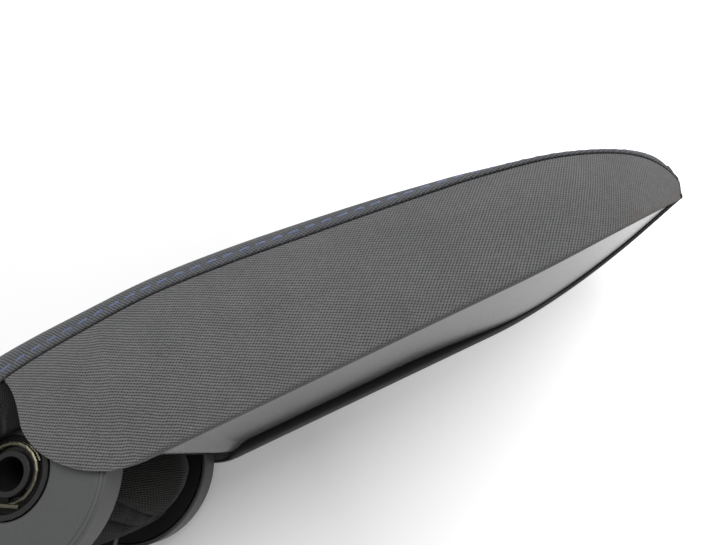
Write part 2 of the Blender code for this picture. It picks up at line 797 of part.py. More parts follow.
def build_tube(material, carrier):
    """Steel hinge tube with a groove for a clip near each end."""
    groove_low = clip_place() - GAP
    groove_high = clip_place() + CLIP_THICKNESS + GAP
    bottom = TUBE_RADIUS - CLIP_GROOVE
    half = [
        (TUBE_RADIUS, groove_low), (bottom, groove_low), (bottom, groove_high), (TUBE_RADIUS, groove_high),
        (TUBE_RADIUS, TUBE_HALF_LENGTH - GAP), (TUBE_RADIUS - GAP, TUBE_HALF_LENGTH),
    ]
    profile = [(r, -y) for r, y in reversed(half)] + half
    profile += [(TUBE_BORE, TUBE_HALF_LENGTH), (TUBE_BORE, -TUBE_HALF_LENGTH)]
    return add_object("pivot_tube", turned(profile), material, carrier)


def clip_place():
    return cup_floor_top() + GAP


def build_clip(label, side, material, carrier):
    """Open spring clip in the tube's groove, which keeps the ear on the tube."""
    inner = TUBE_RADIUS - CLIP_GROOVE + GAP
    start = -pi / 2 + CLIP_MOUTH / 2
    end = 3 * pi / 2 - CLIP_MOUTH / 2
    outline = arc(inner, start, end) + arc(CLIP_RADIUS, end, start)
    faces = sorted((side * clip_place(), side * (clip_place() + CLIP_THICKNESS)))
    return add_object("retaining_clip_" + label, prism(outline, *faces), material, carrier)


def leg_point(along, across):
    """Point of the bracket's leg in its side view, from the hinge axis."""
    return (
        along * cos(LEG_ANGLE) - across * sin(LEG_ANGLE),
        along * sin(LEG_ANGLE) + across * cos(LEG_ANGLE),
    )


def leg_length(across):
    """How far the leg runs at this distance across it, to end inside the foot plate."""
    depth = PIVOT_HEIGHT - FOOT_THICKNESS / 2
    return (depth + across * cos(LEG_ANGLE)) / -sin(LEG_ANGLE)


def cheek_outline():
    """Hub, horn for the raised stop, and leg down to the foot."""
    meet = asin(LEG_HALF_WIDTH / HUB_RADIUS)
    front = LEG_ANGLE - 2 * pi + meet
    rear = LEG_ANGLE - meet
    horn_low = stop_bar_centre(SWING)[1] + STOP_BAR_RADIUS + GAP
    horn_high = horn_low + HORN_HEIGHT
    outline = [leg_point(leg_length(LEG_HALF_WIDTH), LEG_HALF_WIDTH)]
    outline += arc(HUB_RADIUS, front, asin(horn_low / HUB_RADIUS))
    outline += [(HORN_REACH, horn_low), (HORN_REACH, horn_high)]
    outline += arc(HUB_RADIUS, asin(horn_high / HUB_RADIUS), rear)
    outline.append(leg_point(leg_length(-LEG_HALF_WIDTH), -LEG_HALF_WIDTH))
    return outline


def foot_outline():
    """Foot plate seen from above, with round corners."""
    points = []
    x = FOOT_HALF_LENGTH - FOOT_CORNER
    y = FOOT_HALF_WIDTH - FOOT_CORNER
    for k, centre in enumerate(((x, y), (-x, y), (-x, -y), (x, -y))):
        points += arc(FOOT_CORNER, k * pi / 2, (k + 1) * pi / 2, centre, CORNER_STEPS)
    return points


def build_bracket(material, pivot, foot):
    """Welded steel bracket: foot plate, two cheeks round the tube, and a web between them."""
    layers = [[(x, y, z) for x, y in foot_outline()] for z in (0.0, FOOT_THICKNESS)]
    bracket = add_object("hinge_bracket", loft(layers), material, foot)
    for side, label in ((-1, "right"), (1, "left")):
        faces = sorted((side * (CHEEK_OUTER - CHEEK_THICKNESS), side * CHEEK_OUTER))
        cheek = add_cutter("cheek_" + label, prism(cheek_outline(), *faces), pivot)
        combine(bracket, cheek, "UNION")
    inner = CHEEK_OUTER - CHEEK_THICKNESS / 2
    edges = (-LEG_HALF_WIDTH + GAP, -LEG_HALF_WIDTH + GAP + WEB_THICKNESS)
    outline = [leg_point(WEB_START, edges[0]), leg_point(WEB_START, edges[1])]
    outline += [leg_point(leg_length(edges[1]), edges[1]), leg_point(leg_length(edges[0]), edges[0])]
    combine(bracket, add_cutter("web", prism(outline, -inner, inner), pivot), "UNION")
    bore = prism(circle(TUBE_RADIUS + GAP), -CHEEK_OUTER - CUT_MARGIN, CHEEK_OUTER + CUT_MARGIN)
    combine(bracket, add_cutter("bracket_bore", bore, pivot), "DIFFERENCE")
    x = FOOT_HALF_LENGTH - FOOT_HOLE_FROM_END
    y = FOOT_HALF_WIDTH - FOOT_HOLE_FROM_SIDE
    for k, centre in enumerate(((x, y), (-x, y), (-x, -y), (x, -y))):
        ring = circle(FOOT_HOLE_RADIUS, centre, SMALL_ROUND_STEPS)
        layers = [[(a, b, z) for a, b in ring] for z in (-CUT_MARGIN, FOOT_THICKNESS + CUT_MARGIN)]
        combine(bracket, add_cutter("foot_hole_%d" % k, loft(layers), foot), "DIFFERENCE")
    return bracket


def add_empty(name, location):
    item = bpy.data.objects.new(name, None)
    item.location = location
    bpy.context.scene.collection.objects.link(item)
    return item


clear_scene()
weave = make_material("grey_weave", (0.135, 0.137, 0.145), 0.9)
dark_cloth = make_material("dark_cloth", (0.035, 0.036, 0.040), 0.95)
grey_plastic = make_material("grey_plastic", (0.125, 0.127, 0.130), 0.5)
silver_plastic = make_material("silver_plastic", (0.34, 0.345, 0.35), 0.38)
black_plastic = make_material("black_plastic", (0.015, 0.015, 0.016), 0.45)
bush_plastic = make_material("bush_plastic", (0.62, 0.60, 0.54), 0.4)
foam = make_material("foam", (0.30, 0.28, 0.22), 0.95)
steel = make_material("steel", (0.42, 0.42, 0.43), 0.4, 1.0)
zinc = make_material("zinc", (0.62, 0.56, 0.38), 0.35, 1.0)

console_mount = add_empty("console_mount", (0.0, 0.0, 0.0))
pivot_point = (PIVOT_X, 0.0, PIVOT_HEIGHT)
fixed_pivot = add_empty("fixed_pivot", pivot_point)
armrest_pivot = add_empty("armrest_pivot", pivot_point)

build_bracket(steel, fixed_pivot, console_mount)
build_tube(steel, fixed_pivot)
build_tray(black_plastic, armrest_pivot)
build_foam(foam, armrest_pivot)
build_top_cover(weave, armrest_pivot)
build_rear_cover(dark_cloth, armrest_pivot)
build_bottom_cover(silver_plastic, armrest_pivot)
build_well(black_plastic, armrest_pivot)
build_gaiter(dark_cloth, armrest_pivot)
build_stop_bar(steel, armrest_pivot)
for side_sign, side_name in ((-1, "right"), (1, "left")):
    build_side_cover("side_cover_" + side_name, side_sign, weave, armrest_pivot)
    build_ear_cover(side_name, side_sign, grey_plastic, armrest_pivot)
    build_liner(side_name, side_sign, black_plastic, armrest_pivot)
    build_arm(side_name, side_sign, steel, armrest_pivot)
    build_bush(side_name, side_sign, bush_plastic, armrest_pivot)
    build_cup(side_name, side_sign, black_plastic, armrest_pivot)
    build_spring(side_name, side_sign, zinc, armrest_pivot)
    build_clip(side_name, side_sign, zinc, fixed_pivot)
    for screw_number, screw_x in enumerate(ARM_SCREWS, 1):
        screw_name = "arm_screw_%s_%d" % (side_name, screw_number)
        build_screw(screw_name, side_sign, screw_x, zinc, armrest_pivot)
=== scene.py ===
from math import cos, pi, radians, sin

import bpy
import numpy as np
from mathutils import Matrix, Vector


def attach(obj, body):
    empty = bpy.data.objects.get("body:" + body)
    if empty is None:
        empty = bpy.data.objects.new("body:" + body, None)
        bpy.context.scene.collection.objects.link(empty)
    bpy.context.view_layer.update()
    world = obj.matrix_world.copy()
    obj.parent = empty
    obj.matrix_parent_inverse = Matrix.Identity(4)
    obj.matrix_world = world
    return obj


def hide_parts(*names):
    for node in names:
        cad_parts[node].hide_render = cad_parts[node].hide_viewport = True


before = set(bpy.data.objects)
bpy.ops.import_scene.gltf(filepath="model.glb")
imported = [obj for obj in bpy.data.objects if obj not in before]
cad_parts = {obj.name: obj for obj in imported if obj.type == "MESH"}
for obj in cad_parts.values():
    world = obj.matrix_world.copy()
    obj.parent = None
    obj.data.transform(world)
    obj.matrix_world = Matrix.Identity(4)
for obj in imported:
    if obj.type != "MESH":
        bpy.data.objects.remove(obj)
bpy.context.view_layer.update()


# Side covers: two panels of woven grey upholstery cloth, cut and sewn to the top panel,
# stretched over the foam and turned in under the lower edge, between the tray and the bottom panel.

# Lengths are metres. HINGE is the hinge axis in the row frame; x runs forward from it, and z up
# from the lower edge of the pad at EDGE_HEIGHT.
HINGE = np.array((0.052, 0.0, 0.080))
EDGE_HEIGHT = 0.0598
PAD_HALF_WIDTH = 0.0605
TIP_HALF_WIDTH = 0.0012
NOSE_FROM = 0.2275
NOSE_TIP = 0.339
NOSE_FULLNESS = 0.95
NOSE_RISE = 0.0143
NOSE_LEAN = 0.0042
NOSE_SETBACK = 0.0016
SEAM_KNOTS = (
    (0.0, 0.0585), (0.010, 0.0615), (0.025, 0.0638), (0.044, 0.0654), (0.081, 0.0677), (0.118, 0.0664),
    (0.155, 0.0631), (0.192, 0.0589), (0.225, 0.0547), (0.249, 0.0515), (0.281, 0.0482), (0.330, 0.0412),
)
NOSE_ROUND_FROM = 0.300
NOSE_SHUT = 0.985
PIVOT_OVER_EDGE = 0.0202
SEAM_REAR_REACH = 0.060
LEAN_REAR = 0.0035
LEAN_GAIN = 0.0060
BULGE = 0.0152
CLOTH = 0.0014
PANEL_CLOTH = CLOTH * 0.8
LIP_ROUND = 0.0018
LIP_DEEP = 0.0064
LIP_SHALLOW = 0.0020
LIP_WIDE = 0.0064
LIP_NARROW = 0.0034
HEM_AT_CORNER = 0.22
SIDE_HEM = 0.0010
REAR_HEM = 0.0022


def ease(t):
    """Smooth step from 0 to 1 as t goes from 0 to 1."""
    t = np.clip(t, 0.0, 1.0)
    return t * t * (3.0 - 2.0 * t)


def nose(x):
    """Share of the way along the nose, 0 where it starts and 1 at the tip."""
    return np.clip((x - NOSE_FROM) / (NOSE_TIP - NOSE_FROM), 0.0, 1.0)


def plan_width(x):
    """Half width of the pad at its lower edge, x metres forward of the hinge."""
    return np.maximum(PAD_HALF_WIDTH * (1.0 - nose(x) ** 2) ** NOSE_FULLNESS, TIP_HALF_WIDTH)


def lower_line(x):
    """Height of the lower edge, which rises at the nose."""
    return NOSE_RISE * nose(x) ** 1.8


def knotted_curve(knots):
    """Dense table of the smooth curve through a few knots."""
    xs, zs = np.array(knots).T
    slopes = np.gradient(zs, xs)
    slopes[1:-1] = (zs[2:] - zs[:-2]) / (xs[2:] - xs[:-2])
    fine = np.linspace(xs[0], NOSE_TIP + 0.001, 1200)
    k = np.clip(np.searchsorted(xs, fine, side="right") - 1, 0, len(xs) - 2)
    span = xs[k + 1] - xs[k]
    t = (fine - xs[k]) / span
    start = (2 * t**3 - 3 * t**2 + 1) * zs[k] + (t**3 - 2 * t**2 + t) * span * slopes[k]
    end = (3 * t**2 - 2 * t**3) * zs[k + 1] + (t**3 - t**2) * span * slopes[k + 1]
    return fine, start + end


SEAM_TABLE = knotted_curve(SEAM_KNOTS)


def seam_line(x):
    """Height of the seam between the side and the top, over the lower edge."""
    rise = SEAM_KNOTS[0][1] - PIVOT_OVER_EDGE
    rear = PIVOT_OVER_EDGE + rise * np.sqrt(1.0 - (np.minimum(x, 0.0) / SEAM_REAR_REACH) ** 2)
    height = np.interp(x, *SEAM_TABLE)
    rounding = np.clip((x - NOSE_ROUND_FROM) / (NOSE_TIP - NOSE_ROUND_FROM), 0.0, NOSE_SHUT)
    low = lower_line(x)
    front = low + (height - low) * (1.0 - rounding**3) ** (1.0 / 3.0)
    return np.where(x < 0.0, rear, front)


def side_width(x, z):
    """Half width at height z over the lower edge: the side bulges, then leans in."""
    lean = LEAN_REAR + LEAN_GAIN * ease((x - 0.045) / 0.130)
    low = lower_line(x)
    part = np.clip((z - low) / (seam_line(x) - low), 0.0, 1.0)
    full_width = PAD_HALF_WIDTH - lean * part + BULGE * part * (1.0 - part)
    return plan_width(x) / PAD_HALF_WIDTH * full_width


SWEEP_END = 0.054
SWEEP_REAR = 0.0135
SWEEP_TURN = 0.036
SWEEP_ABOVE = 0.0215
SWEEP_BACK = 0.0049


def rear_edge(z):
    """How far forward of the hinge the side panel's rear edge lies, z over the lower edge."""
    below = np.clip((SWEEP_TURN - z) / SWEEP_TURN, 0.0, 1.0)
    low = SWEEP_END - (SWEEP_END - SWEEP_REAR) * (1.0 - below**1.7) ** (1.0 / 1.7)
    above = np.clip((z - SWEEP_TURN) / SWEEP_ABOVE, 0.0, 1.2)
    return low - SWEEP_BACK * above**2.5


SWEEP_Z = np.linspace(0.0605, 0.0, 500)


def sweep(x):
    """Rise of the round rear lower corner of the side cover."""
    return np.interp(x, rear_edge(SWEEP_Z), SWEEP_Z)


def lip_depth(x):
    """How far the turned-in lower edge hangs below the bottom cover."""
    return LIP_DEEP + (LIP_SHALLOW - LIP_DEEP) * ease((x - 0.170) / 0.090)


def lip_width(x):
    """How far the lower edge turns in, narrower where the nose leaves less room."""
    full_width = LIP_WIDE + (LIP_NARROW - LIP_WIDE) * ease((x - 0.232) / 0.060)
    return np.minimum(full_width, plan_width(x) * 0.6)


def new_piece(name, data):
    """Object that shows a mesh, light or camera, placed in the scene."""
    piece = bpy.data.objects.new(name, data)
    bpy.context.scene.collection.objects.link(piece)
    return piece


def grid_object(name, points, uv, material, thickness=0.0, masks=None, closed_columns=False):
    """Quad mesh over points[i, j], with uv in metres and any masks as point attributes."""
    rows, columns = points.shape[:2]
    index = np.arange(rows * columns).reshape(rows, columns)
    if closed_columns:
        index = np.concatenate([index, index[:, :1]], axis=1)
    quads = np.stack([index[:-1, :-1], index[1:, :-1], index[1:, 1:], index[:-1, 1:]], axis=-1)
    mesh = bpy.data.meshes.new(name)
    mesh.from_pydata(points.reshape(-1, 3).tolist(), [], quads.reshape(-1, 4).tolist())
    layer = mesh.uv_layers.new(name="cloth")
    flat = uv.reshape(-1, 2)
    corners = np.empty(len(mesh.loops), dtype=np.int32)
    mesh.loops.foreach_get("vertex_index", corners)
    layer.data.foreach_set("uv", flat[corners].ravel())
    for label, values in (masks or {}).items():
        mesh.attributes.new(label, "FLOAT", "POINT").data.foreach_set("value", values.ravel())
    mesh.shade_smooth()
    mesh.materials.append(material)
    piece = new_piece(name, mesh)
    if thickness:
        shell = piece.modifiers.new("cloth", "SOLIDIFY")
        shell.thickness = thickness
        shell.offset = -1.0
        shell.use_rim = True
    return piece


def surface_normals(points):
    """Unit normal at each point of a grid."""
    along = np.gradient(points, axis=0)
    across = np.gradient(points, axis=1)
    normal = np.cross(along, across)
    length = np.linalg.norm(normal, axis=-1, keepdims=True)
    return normal / np.maximum(length, 1e-12)


def path_length(points, axis):
    """Distance along the grid from its first row or column, in metres."""
    steps = np.linalg.norm(np.diff(points, axis=axis), axis=-1)
    start = np.zeros_like(np.take(steps, [0], axis=axis))
    return np.concatenate([start, np.cumsum(steps, axis=axis)], axis=axis)


def grid_area(points):
    """Area of the grid in square metres."""
    along = points[1:, :-1] - points[:-1, :-1]
    across = points[:-1, 1:] - points[:-1, :-1]
    return float(np.linalg.norm(np.cross(along, across), axis=-1).sum())


def rolled(distance, radius):
    """How far an edge of cloth drops below its surface within radius of the fold."""
    inside = np.clip(radius - distance, 0.0, radius)
    return radius - np.sqrt(np.maximum(radius**2 - inside**2, 0.0))


def calc(tree, operation, first, second=None, third=None):
    """Math node in tree. Each input is a socket or a number."""
    node = tree.nodes.new("ShaderNodeMath")
    node.operation = operation
    for slot, value in zip(node.inputs, (first, second, third)):
        if value is None:
            continue
        if isinstance(value, (int, float)):
            slot.default_value = value
        else:
            tree.links.new(value, slot)
    return node.outputs[0]


def blend_colour(tree, factor, first, second, mode="MIX"):
    """Mix of two colours, each a socket or an RGB tuple."""
    node = tree.nodes.new("ShaderNodeMix")
    node.data_type = "RGBA"
    node.blend_type = mode
    for slot, value in ((node.inputs[0], factor), (node.inputs[6], first), (node.inputs[7], second)):
        if isinstance(value, tuple):
            slot.default_value = (*value, 1.0)
        elif isinstance(value, (int, float)):
            slot.default_value = value
        else:
            tree.links.new(value, slot)
    return node.outputs[2]


def noise(tree, vector, scale, detail=2.0, roughness=0.5):
    node = tree.nodes.new("ShaderNodeTexNoise")
    node.inputs["Scale"].default_value = scale
    node.inputs["Detail"].default_value = detail
    node.inputs["Roughness"].default_value = roughness
    tree.links.new(vector, node.inputs["Vector"])
    return node.outputs[0]


def spread(tree, value, low, high, new_low=0.0, new_high=1.0):
    """Value mapped from one range to another and clamped."""
    node = tree.nodes.new("ShaderNodeMapRange")
    tree.links.new(value, node.inputs[0])
    for slot, number in zip(node.inputs[1:5], (low, high, new_low, new_high)):
        slot.default_value = number
    return node.outputs[0]


def mask_value(tree, label):
    """Value of a mask that the mesh carries on its points."""
    node = tree.nodes.new("ShaderNodeAttribute")
    node.attribute_name = label
    return node.outputs["Fac"]


def even_grey(tree, tone):
    """Grey whose three channels all take one value."""
    grey = tree.nodes.new("ShaderNodeCombineColor")
    for slot in grey.inputs[:3]:
        tree.links.new(tone, slot)
    return grey.outputs[0]


def ridge(tree, value):
    """Rises from 0 to 1 and falls back once over each whole step of value."""
    wave = calc(tree, "COSINE", calc(tree, "MULTIPLY", value, 2.0 * pi))
    return calc(tree, "MULTIPLY_ADD", wave, -0.5, 0.5)


def new_material(name):
    """Material with its node tree and its Principled shader."""
    material = bpy.data.materials.new(name)
    material.use_nodes = True
    return material, material.node_tree, material.node_tree.nodes["Principled BSDF"]


def add_relief(tree, shader, height, strength, distance):
    """Relief too fine for the mesh, from a height value."""
    bump = tree.nodes.new("ShaderNodeBump")
    bump.inputs["Strength"].default_value = strength
    bump.inputs["Distance"].default_value = distance
    tree.links.new(height, bump.inputs["Height"])
    tree.links.new(bump.outputs[0], shader.inputs["Normal"])


def node_group(name, inputs, outputs):
    """Empty shader group. Inputs are (name, kind, default) and outputs (name, kind)."""
    tree = bpy.data.node_groups.new(name, "ShaderNodeTree")
    for label, kind, default in inputs:
        socket = tree.interface.new_socket(label, in_out="INPUT", socket_type=kind)
        if default is not None:
            socket.default_value = default
    for label, kind in outputs:
        tree.interface.new_socket(label, in_out="OUTPUT", socket_type=kind)
    return tree, tree.nodes.new("NodeGroupInput").outputs, tree.nodes.new("NodeGroupOutput").inputs


TIGHT_TO_LOOSE = (0.06, 0.22)


def weave_group():
    """Flat woven cloth: thread is 1 on a yarn and 0 in the holes, tone varies yarn by yarn."""
    tree, given, result = node_group(
        "flat weave",
        (("Cloth", "NodeSocketVector", None), ("Turn", "NodeSocketFloat", 0.0),
         ("Row pitch", "NodeSocketFloat", 0.0012), ("Column pitch", "NodeSocketFloat", 0.0013)),
        (("Thread", "NodeSocketFloat"), ("Tone", "NodeSocketFloat"), ("Fibre", "NodeSocketFloat")),
    )
    turned = tree.nodes.new("ShaderNodeVectorRotate")
    turned.rotation_type = "Z_AXIS"
    tree.links.new(given["Cloth"], turned.inputs["Vector"])
    tree.links.new(given["Turn"], turned.inputs["Angle"])
    place = turned.outputs[0]
    split = tree.nodes.new("ShaderNodeSeparateXYZ")
    tree.links.new(place, split.inputs[0])
    wander = noise(tree, place, 45.0, 3.0)
    wobble = calc(tree, "MULTIPLY", calc(tree, "SUBTRACT", wander, 0.5), 0.0016)
    shake = noise(tree, place, 420.0, 1.0)
    shiver = calc(tree, "MULTIPLY", calc(tree, "SUBTRACT", shake, 0.5), 0.0005)
    across = calc(tree, "ADD", calc(tree, "ADD", split.outputs[1], wobble), shiver)
    row = calc(tree, "DIVIDE", across, given["Row pitch"])
    slant = calc(tree, "MULTIPLY", split.outputs[1], -0.28)
    drift = calc(tree, "MULTIPLY", wobble, 0.7)
    along = calc(tree, "ADD", calc(tree, "ADD", split.outputs[0], slant), drift)
    column = calc(tree, "DIVIDE", along, given["Column pitch"])
    # The cloth is pulled tight at the hinge, where rows show, and loose ahead of it, where holes do.
    row_gap = calc(tree, "POWER", calc(tree, "SUBTRACT", 1.0, ridge(tree, row)), 1.4)
    hole = calc(tree, "POWER", calc(tree, "SUBTRACT", 1.0, ridge(tree, column)), 1.1)
    origin = tree.nodes.new("ShaderNodeSeparateXYZ")
    tree.links.new(given["Cloth"], origin.inputs[0])
    line = spread(tree, origin.outputs[0], *TIGHT_TO_LOOSE, 0.52, 0.20)
    depth = calc(tree, "MULTIPLY", row_gap, calc(tree, "MAXIMUM", hole, line))
    nick = calc(tree, "MULTIPLY", hole, spread(tree, origin.outputs[0], *TIGHT_TO_LOOSE, 0.16, 0.44))
    thread = calc(tree, "SUBTRACT", 1.0, calc(tree, "MAXIMUM", depth, nick))
    tree.links.new(thread, result["Thread"])
    cell = tree.nodes.new("ShaderNodeCombineXYZ")
    tree.links.new(calc(tree, "FLOOR", calc(tree, "ADD", column, 0.5)), cell.inputs[0])
    tree.links.new(calc(tree, "FLOOR", row), cell.inputs[1])
    chance = tree.nodes.new("ShaderNodeTexWhiteNoise")
    chance.noise_dimensions = "2D"
    tree.links.new(cell.outputs[0], chance.inputs["Vector"])
    tree.links.new(chance.outputs[0], result["Tone"])
    tree.links.new(noise(tree, place, 2600.0, 3.0, 0.7), result["Fibre"])
    return tree


WEAVE = weave_group()
WORN_YARN = (0.100, 0.068, 0.045)
HEM_SHADE = (0.018, 0.018, 0.019)
LINT = (0.5, 0.5, 0.5)


def woven_material(name, turn, yarn, hole, tint):
    """Grey upholstery cloth. Masks: hem paints shade on the turned-in edge, rub shows brown rubbed yarn."""
    material, tree, shader = new_material(name)
    cloth = tree.nodes.new("ShaderNodeUVMap")
    cloth.uv_map = "cloth"
    weave = tree.nodes.new("ShaderNodeGroup")
    weave.node_tree = WEAVE
    tree.links.new(cloth.outputs[0], weave.inputs["Cloth"])
    weave.inputs["Turn"].default_value = turn
    thread = weave.outputs["Thread"]
    tone = spread(tree, weave.outputs["Tone"], 0.0, 1.0, 0.92, 1.08)
    fibre = spread(tree, weave.outputs["Fibre"], 0.3, 0.7, 0.84, 1.16)
    cloud = spread(tree, noise(tree, cloth.outputs[0], 38.0, 4.0, 0.6), 0.3, 0.7, 0.92, 1.08)
    level = calc(tree, "MULTIPLY", calc(tree, "MULTIPLY", tone, fibre), cloud)
    tinted = blend_colour(tree, noise(tree, cloth.outputs[0], 260.0, 2.0), yarn, tint)
    # Painted shade: the gaps between yarns and rows take the near-black hole colour.
    colour = blend_colour(tree, thread, hole, tinted)
    colour = blend_colour(tree, 1.0, colour, even_grey(tree, level), "MULTIPLY")
    patch = spread(tree, noise(tree, cloth.outputs[0], 210.0, 3.0, 0.65), 0.42, 0.58)
    rub = calc(tree, "MULTIPLY", mask_value(tree, "rub"), patch)
    colour = blend_colour(tree, calc(tree, "MULTIPLY", rub, 0.45), colour, WORN_YARN)
    # Painted shade: the hem mask darkens the turned-in edge towards HEM_SHADE.
    colour = blend_colour(tree, mask_value(tree, "hem"), colour, HEM_SHADE)
    speck = tree.nodes.new("ShaderNodeTexVoronoi")
    speck.inputs["Scale"].default_value = 55.0
    tree.links.new(cloth.outputs[0], speck.inputs["Vector"])
    rare = tree.nodes.new("ShaderNodeSeparateColor")
    tree.links.new(speck.outputs["Color"], rare.inputs[0])
    lint = calc(tree, "MULTIPLY", calc(tree, "LESS_THAN", speck.outputs["Distance"], 0.028),
                calc(tree, "GREATER_THAN", rare.outputs[0], 0.93))
    colour = blend_colour(tree, calc(tree, "MULTIPLY", lint, 0.7), colour, LINT)
    tree.links.new(colour, shader.inputs["Base Color"])
    shader.inputs["Roughness"].default_value = 0.92
    shader.inputs["Specular IOR Level"].default_value = 0.2
    shader.inputs["Sheen Weight"].default_value = 0.12
    shader.inputs["Sheen Roughness"].default_value = 0.45
    add_relief(tree, shader, calc(tree, "MULTIPLY_ADD", weave.outputs["Fibre"], 0.25, thread), 0.8, 0.0004)
    return material


def nose_columns(count, end=NOSE_TIP):
    """Places along the nose, closer together towards its tip."""
    return NOSE_FROM + (end - NOSE_FROM) * np.sin(pi / 2 * np.linspace(0.0, 1.0, count))


def to_row(x, y, z):
    """From hinge x and heights over the lower edge to the row frame. The nose leans forward."""
    lean = ease((x - 0.305) / 0.034) * (NOSE_LEAN * ease((z - 0.0130) / 0.012) - NOSE_SETBACK)
    return np.stack([x + lean + HINGE[0], y, z + EDGE_HEIGHT], axis=-1)


def side_panel(side):
    """Grid, uv, masks and area of one side: turned-in lip, round lower edge, then up to the seam."""
    columns = np.concatenate([
        rear_edge(np.linspace(0.0600, 0.0003, 70)),
        np.linspace(SWEEP_END, NOSE_FROM, 100)[1:-1],
        nose_columns(110),
    ])
    # The lip grows from almost nothing round the rear corner to its full size under the pad.
    hem = HEM_AT_CORNER + (1.0 - HEM_AT_CORNER) * ease((columns - 0.048) / 0.010)
    across = lip_width(columns) * hem
    depth = lip_depth(columns) * hem
    bend = np.minimum(LIP_ROUND, across * 0.40)
    base = lower_line(columns) + sweep(columns)
    low_width = side_width(columns, base + LIP_ROUND)
    quarter = np.radians(np.linspace(0.0, 90.0, 6))
    path = [(across, depth * share + bend * (1.0 - share)) for share in (1.0, 0.66, 0.33)]
    path += [(across - bend + bend * np.cos(a), bend - bend * np.sin(a)) for a in quarter]
    path += [(across - bend + (2.0 * bend - across) * share, np.zeros_like(bend)) for share in (0.33, 0.66)]
    path += [(bend - bend * np.sin(a), bend - bend * np.cos(a)) for a in quarter]
    rows = [to_row(columns, low_width - inward, base + rise) for inward, rise in path]
    lip_rows = len(rows)
    start = base + bend
    top = seam_line(columns)
    shares = 0.5 - 0.5 * np.cos(pi * np.linspace(0.0, 1.0, 54)[1:])
    for share in shares:
        z = start + (top - start) * share
        rows.append(to_row(columns, side_width(columns, z), z))
    points = np.stack(rows, axis=1)
    normal = surface_normals(points)
    normal *= np.sign(normal[..., 1].sum())
    # Both cut edges are rolled under, along the seam and along the rear.
    run = path_length(points, 1)
    to_seam = run[:, -1:] - run
    points = points - normal * (rolled(to_seam, SIDE_HEM) * 0.9)[..., None]
    to_rear = path_length(points[:, lip_rows:lip_rows + 1], 0)
    rear_drop = np.repeat(rolled(to_rear, REAR_HEM) * 0.8, points.shape[1], axis=1)
    rear_drop[:, :lip_rows] = 0.0
    points = points - normal * rear_drop[..., None]
    points[..., 1] = np.maximum(points[..., 1], 0.0003)
    plan = np.stack([columns, plan_width(columns), np.zeros_like(columns)], axis=-1)[:, None]
    along = np.repeat(path_length(plan, 0), points.shape[1], axis=1)
    uv = np.stack([along, run - run[:, lip_rows:lip_rows + 1] + sweep(columns)[:, None]], axis=-1)
    # The turned-in rows get painted shade, and the lower edge is rubbed towards the nose.
    lip_painted_shade = np.zeros(points.shape[:2])
    lip_painted_shade[:, :4] = (1.0, 1.0, 0.85, 0.5)
    from_lip = run - run[:, lip_rows - 2:lip_rows - 1]
    forward = points[..., 0] - HINGE[0]
    rub = ease((forward - 0.270) / 0.03) * (1.0 - ease(np.abs(from_lip - 0.001) / 0.0042))
    points[..., 1] *= side
    if side > 0:
        points, uv, lip_painted_shade, rub = points[::-1], uv[::-1], lip_painted_shade[::-1], rub[::-1]
    return points, uv, {"hem": lip_painted_shade, "rub": rub}, grid_area(points)


# The near-black hole colours here and for the top cloth are painted shade in the weave's gaps.
GREY_CLOTH = woven_material(
    "grey_weave", radians(28.0), (0.160, 0.159, 0.158), (0.002, 0.002, 0.002), (0.142, 0.144, 0.151))
for side, label in ((-1, "right"), (1, "left")):
    panel, panel_uv, panel_masks, panel_area = side_panel(side)
    cover = grid_object("side_panel_" + label, panel, panel_uv, GREY_CLOTH, PANEL_CLOTH, panel_masks)
    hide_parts("side_cover_" + label)
    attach(cover, "armrest")


# Top cover: one long panel of the same cloth over the crown of the foam, sewn to both side
# panels with its edges rolled over the seams, and topstitched beside them. Its copy of the
# cloth is coloured darker and bluer: painted shade with a bluish painted reflection.

TOP_FROM = -0.0080
TOP_COLUMNS = 97
TOP_MIDDLE = TOP_COLUMNS // 2
CROWN_REAR_RISE = 0.0622
CROWN_REAR_REACH = 0.050
STITCH_OFFSET = 0.0045
FURROW_DEPTH = 0.00055
FURROW_WIDTH = 0.0016
PILLOW_HEIGHT = 0.00035
PILLOW_WIDTH = 0.0022
TOP_ROLL = 0.0013
TOP_REAR_ROLL = 0.0016
CROWN_KNOTS = (
    (0.0, 0.0239), (0.010, 0.0211), (0.025, 0.0192), (0.044, 0.0178), (0.081, 0.0160), (0.118, 0.0154),
    (0.155, 0.0148), (0.192, 0.0132), (0.225, 0.0104), (0.249, 0.0082), (0.281, 0.0069), (0.310, 0.0066),
    (0.328, 0.0080), (0.339, 0.0100),
)
CROWN_TABLE = knotted_curve(CROWN_KNOTS)


def crown_height(x):
    """How far the top rises over the seam; behind the hinge its outline is round."""
    behind = np.minimum(x, 0.0) / CROWN_REAR_REACH
    top = PIVOT_OVER_EDGE + CROWN_REAR_RISE * np.sqrt(1.0 - behind**2)
    return np.where(x < 0.0, top - seam_line(x), np.interp(x, *CROWN_TABLE))


def crown_profile(x, count):
    """Points (y, z) over the top at x, from the right seam to the left one, evenly spaced."""
    turn = np.linspace(0.0, pi / 2, 260)
    width = side_width(x, seam_line(x))
    y = width[:, None] * np.cos(turn) ** (2.0 / 3.0)
    z = seam_line(x)[:, None] + crown_height(x)[:, None] * np.sin(turn) ** (2.0 / 3.0)
    y = np.concatenate([-y, y[:, ::-1][:, 1:]], axis=1)
    z = np.concatenate([z, z[:, ::-1][:, 1:]], axis=1)
    even_y = np.empty((len(x), count))
    even_z = np.empty((len(x), count))
    share = np.linspace(1.0, -1.0, count)
    spacing = 0.5 - 0.5 * np.sign(share) * np.abs(share) ** 0.8
    for k in range(len(x)):
        run = np.concatenate([[0.0], np.cumsum(np.hypot(np.diff(y[k]), np.diff(z[k])))])
        even_y[k] = np.interp(spacing * run[-1], run, y[k])
        even_z[k] = np.interp(spacing * run[-1], run, z[k])
    return even_y, even_z


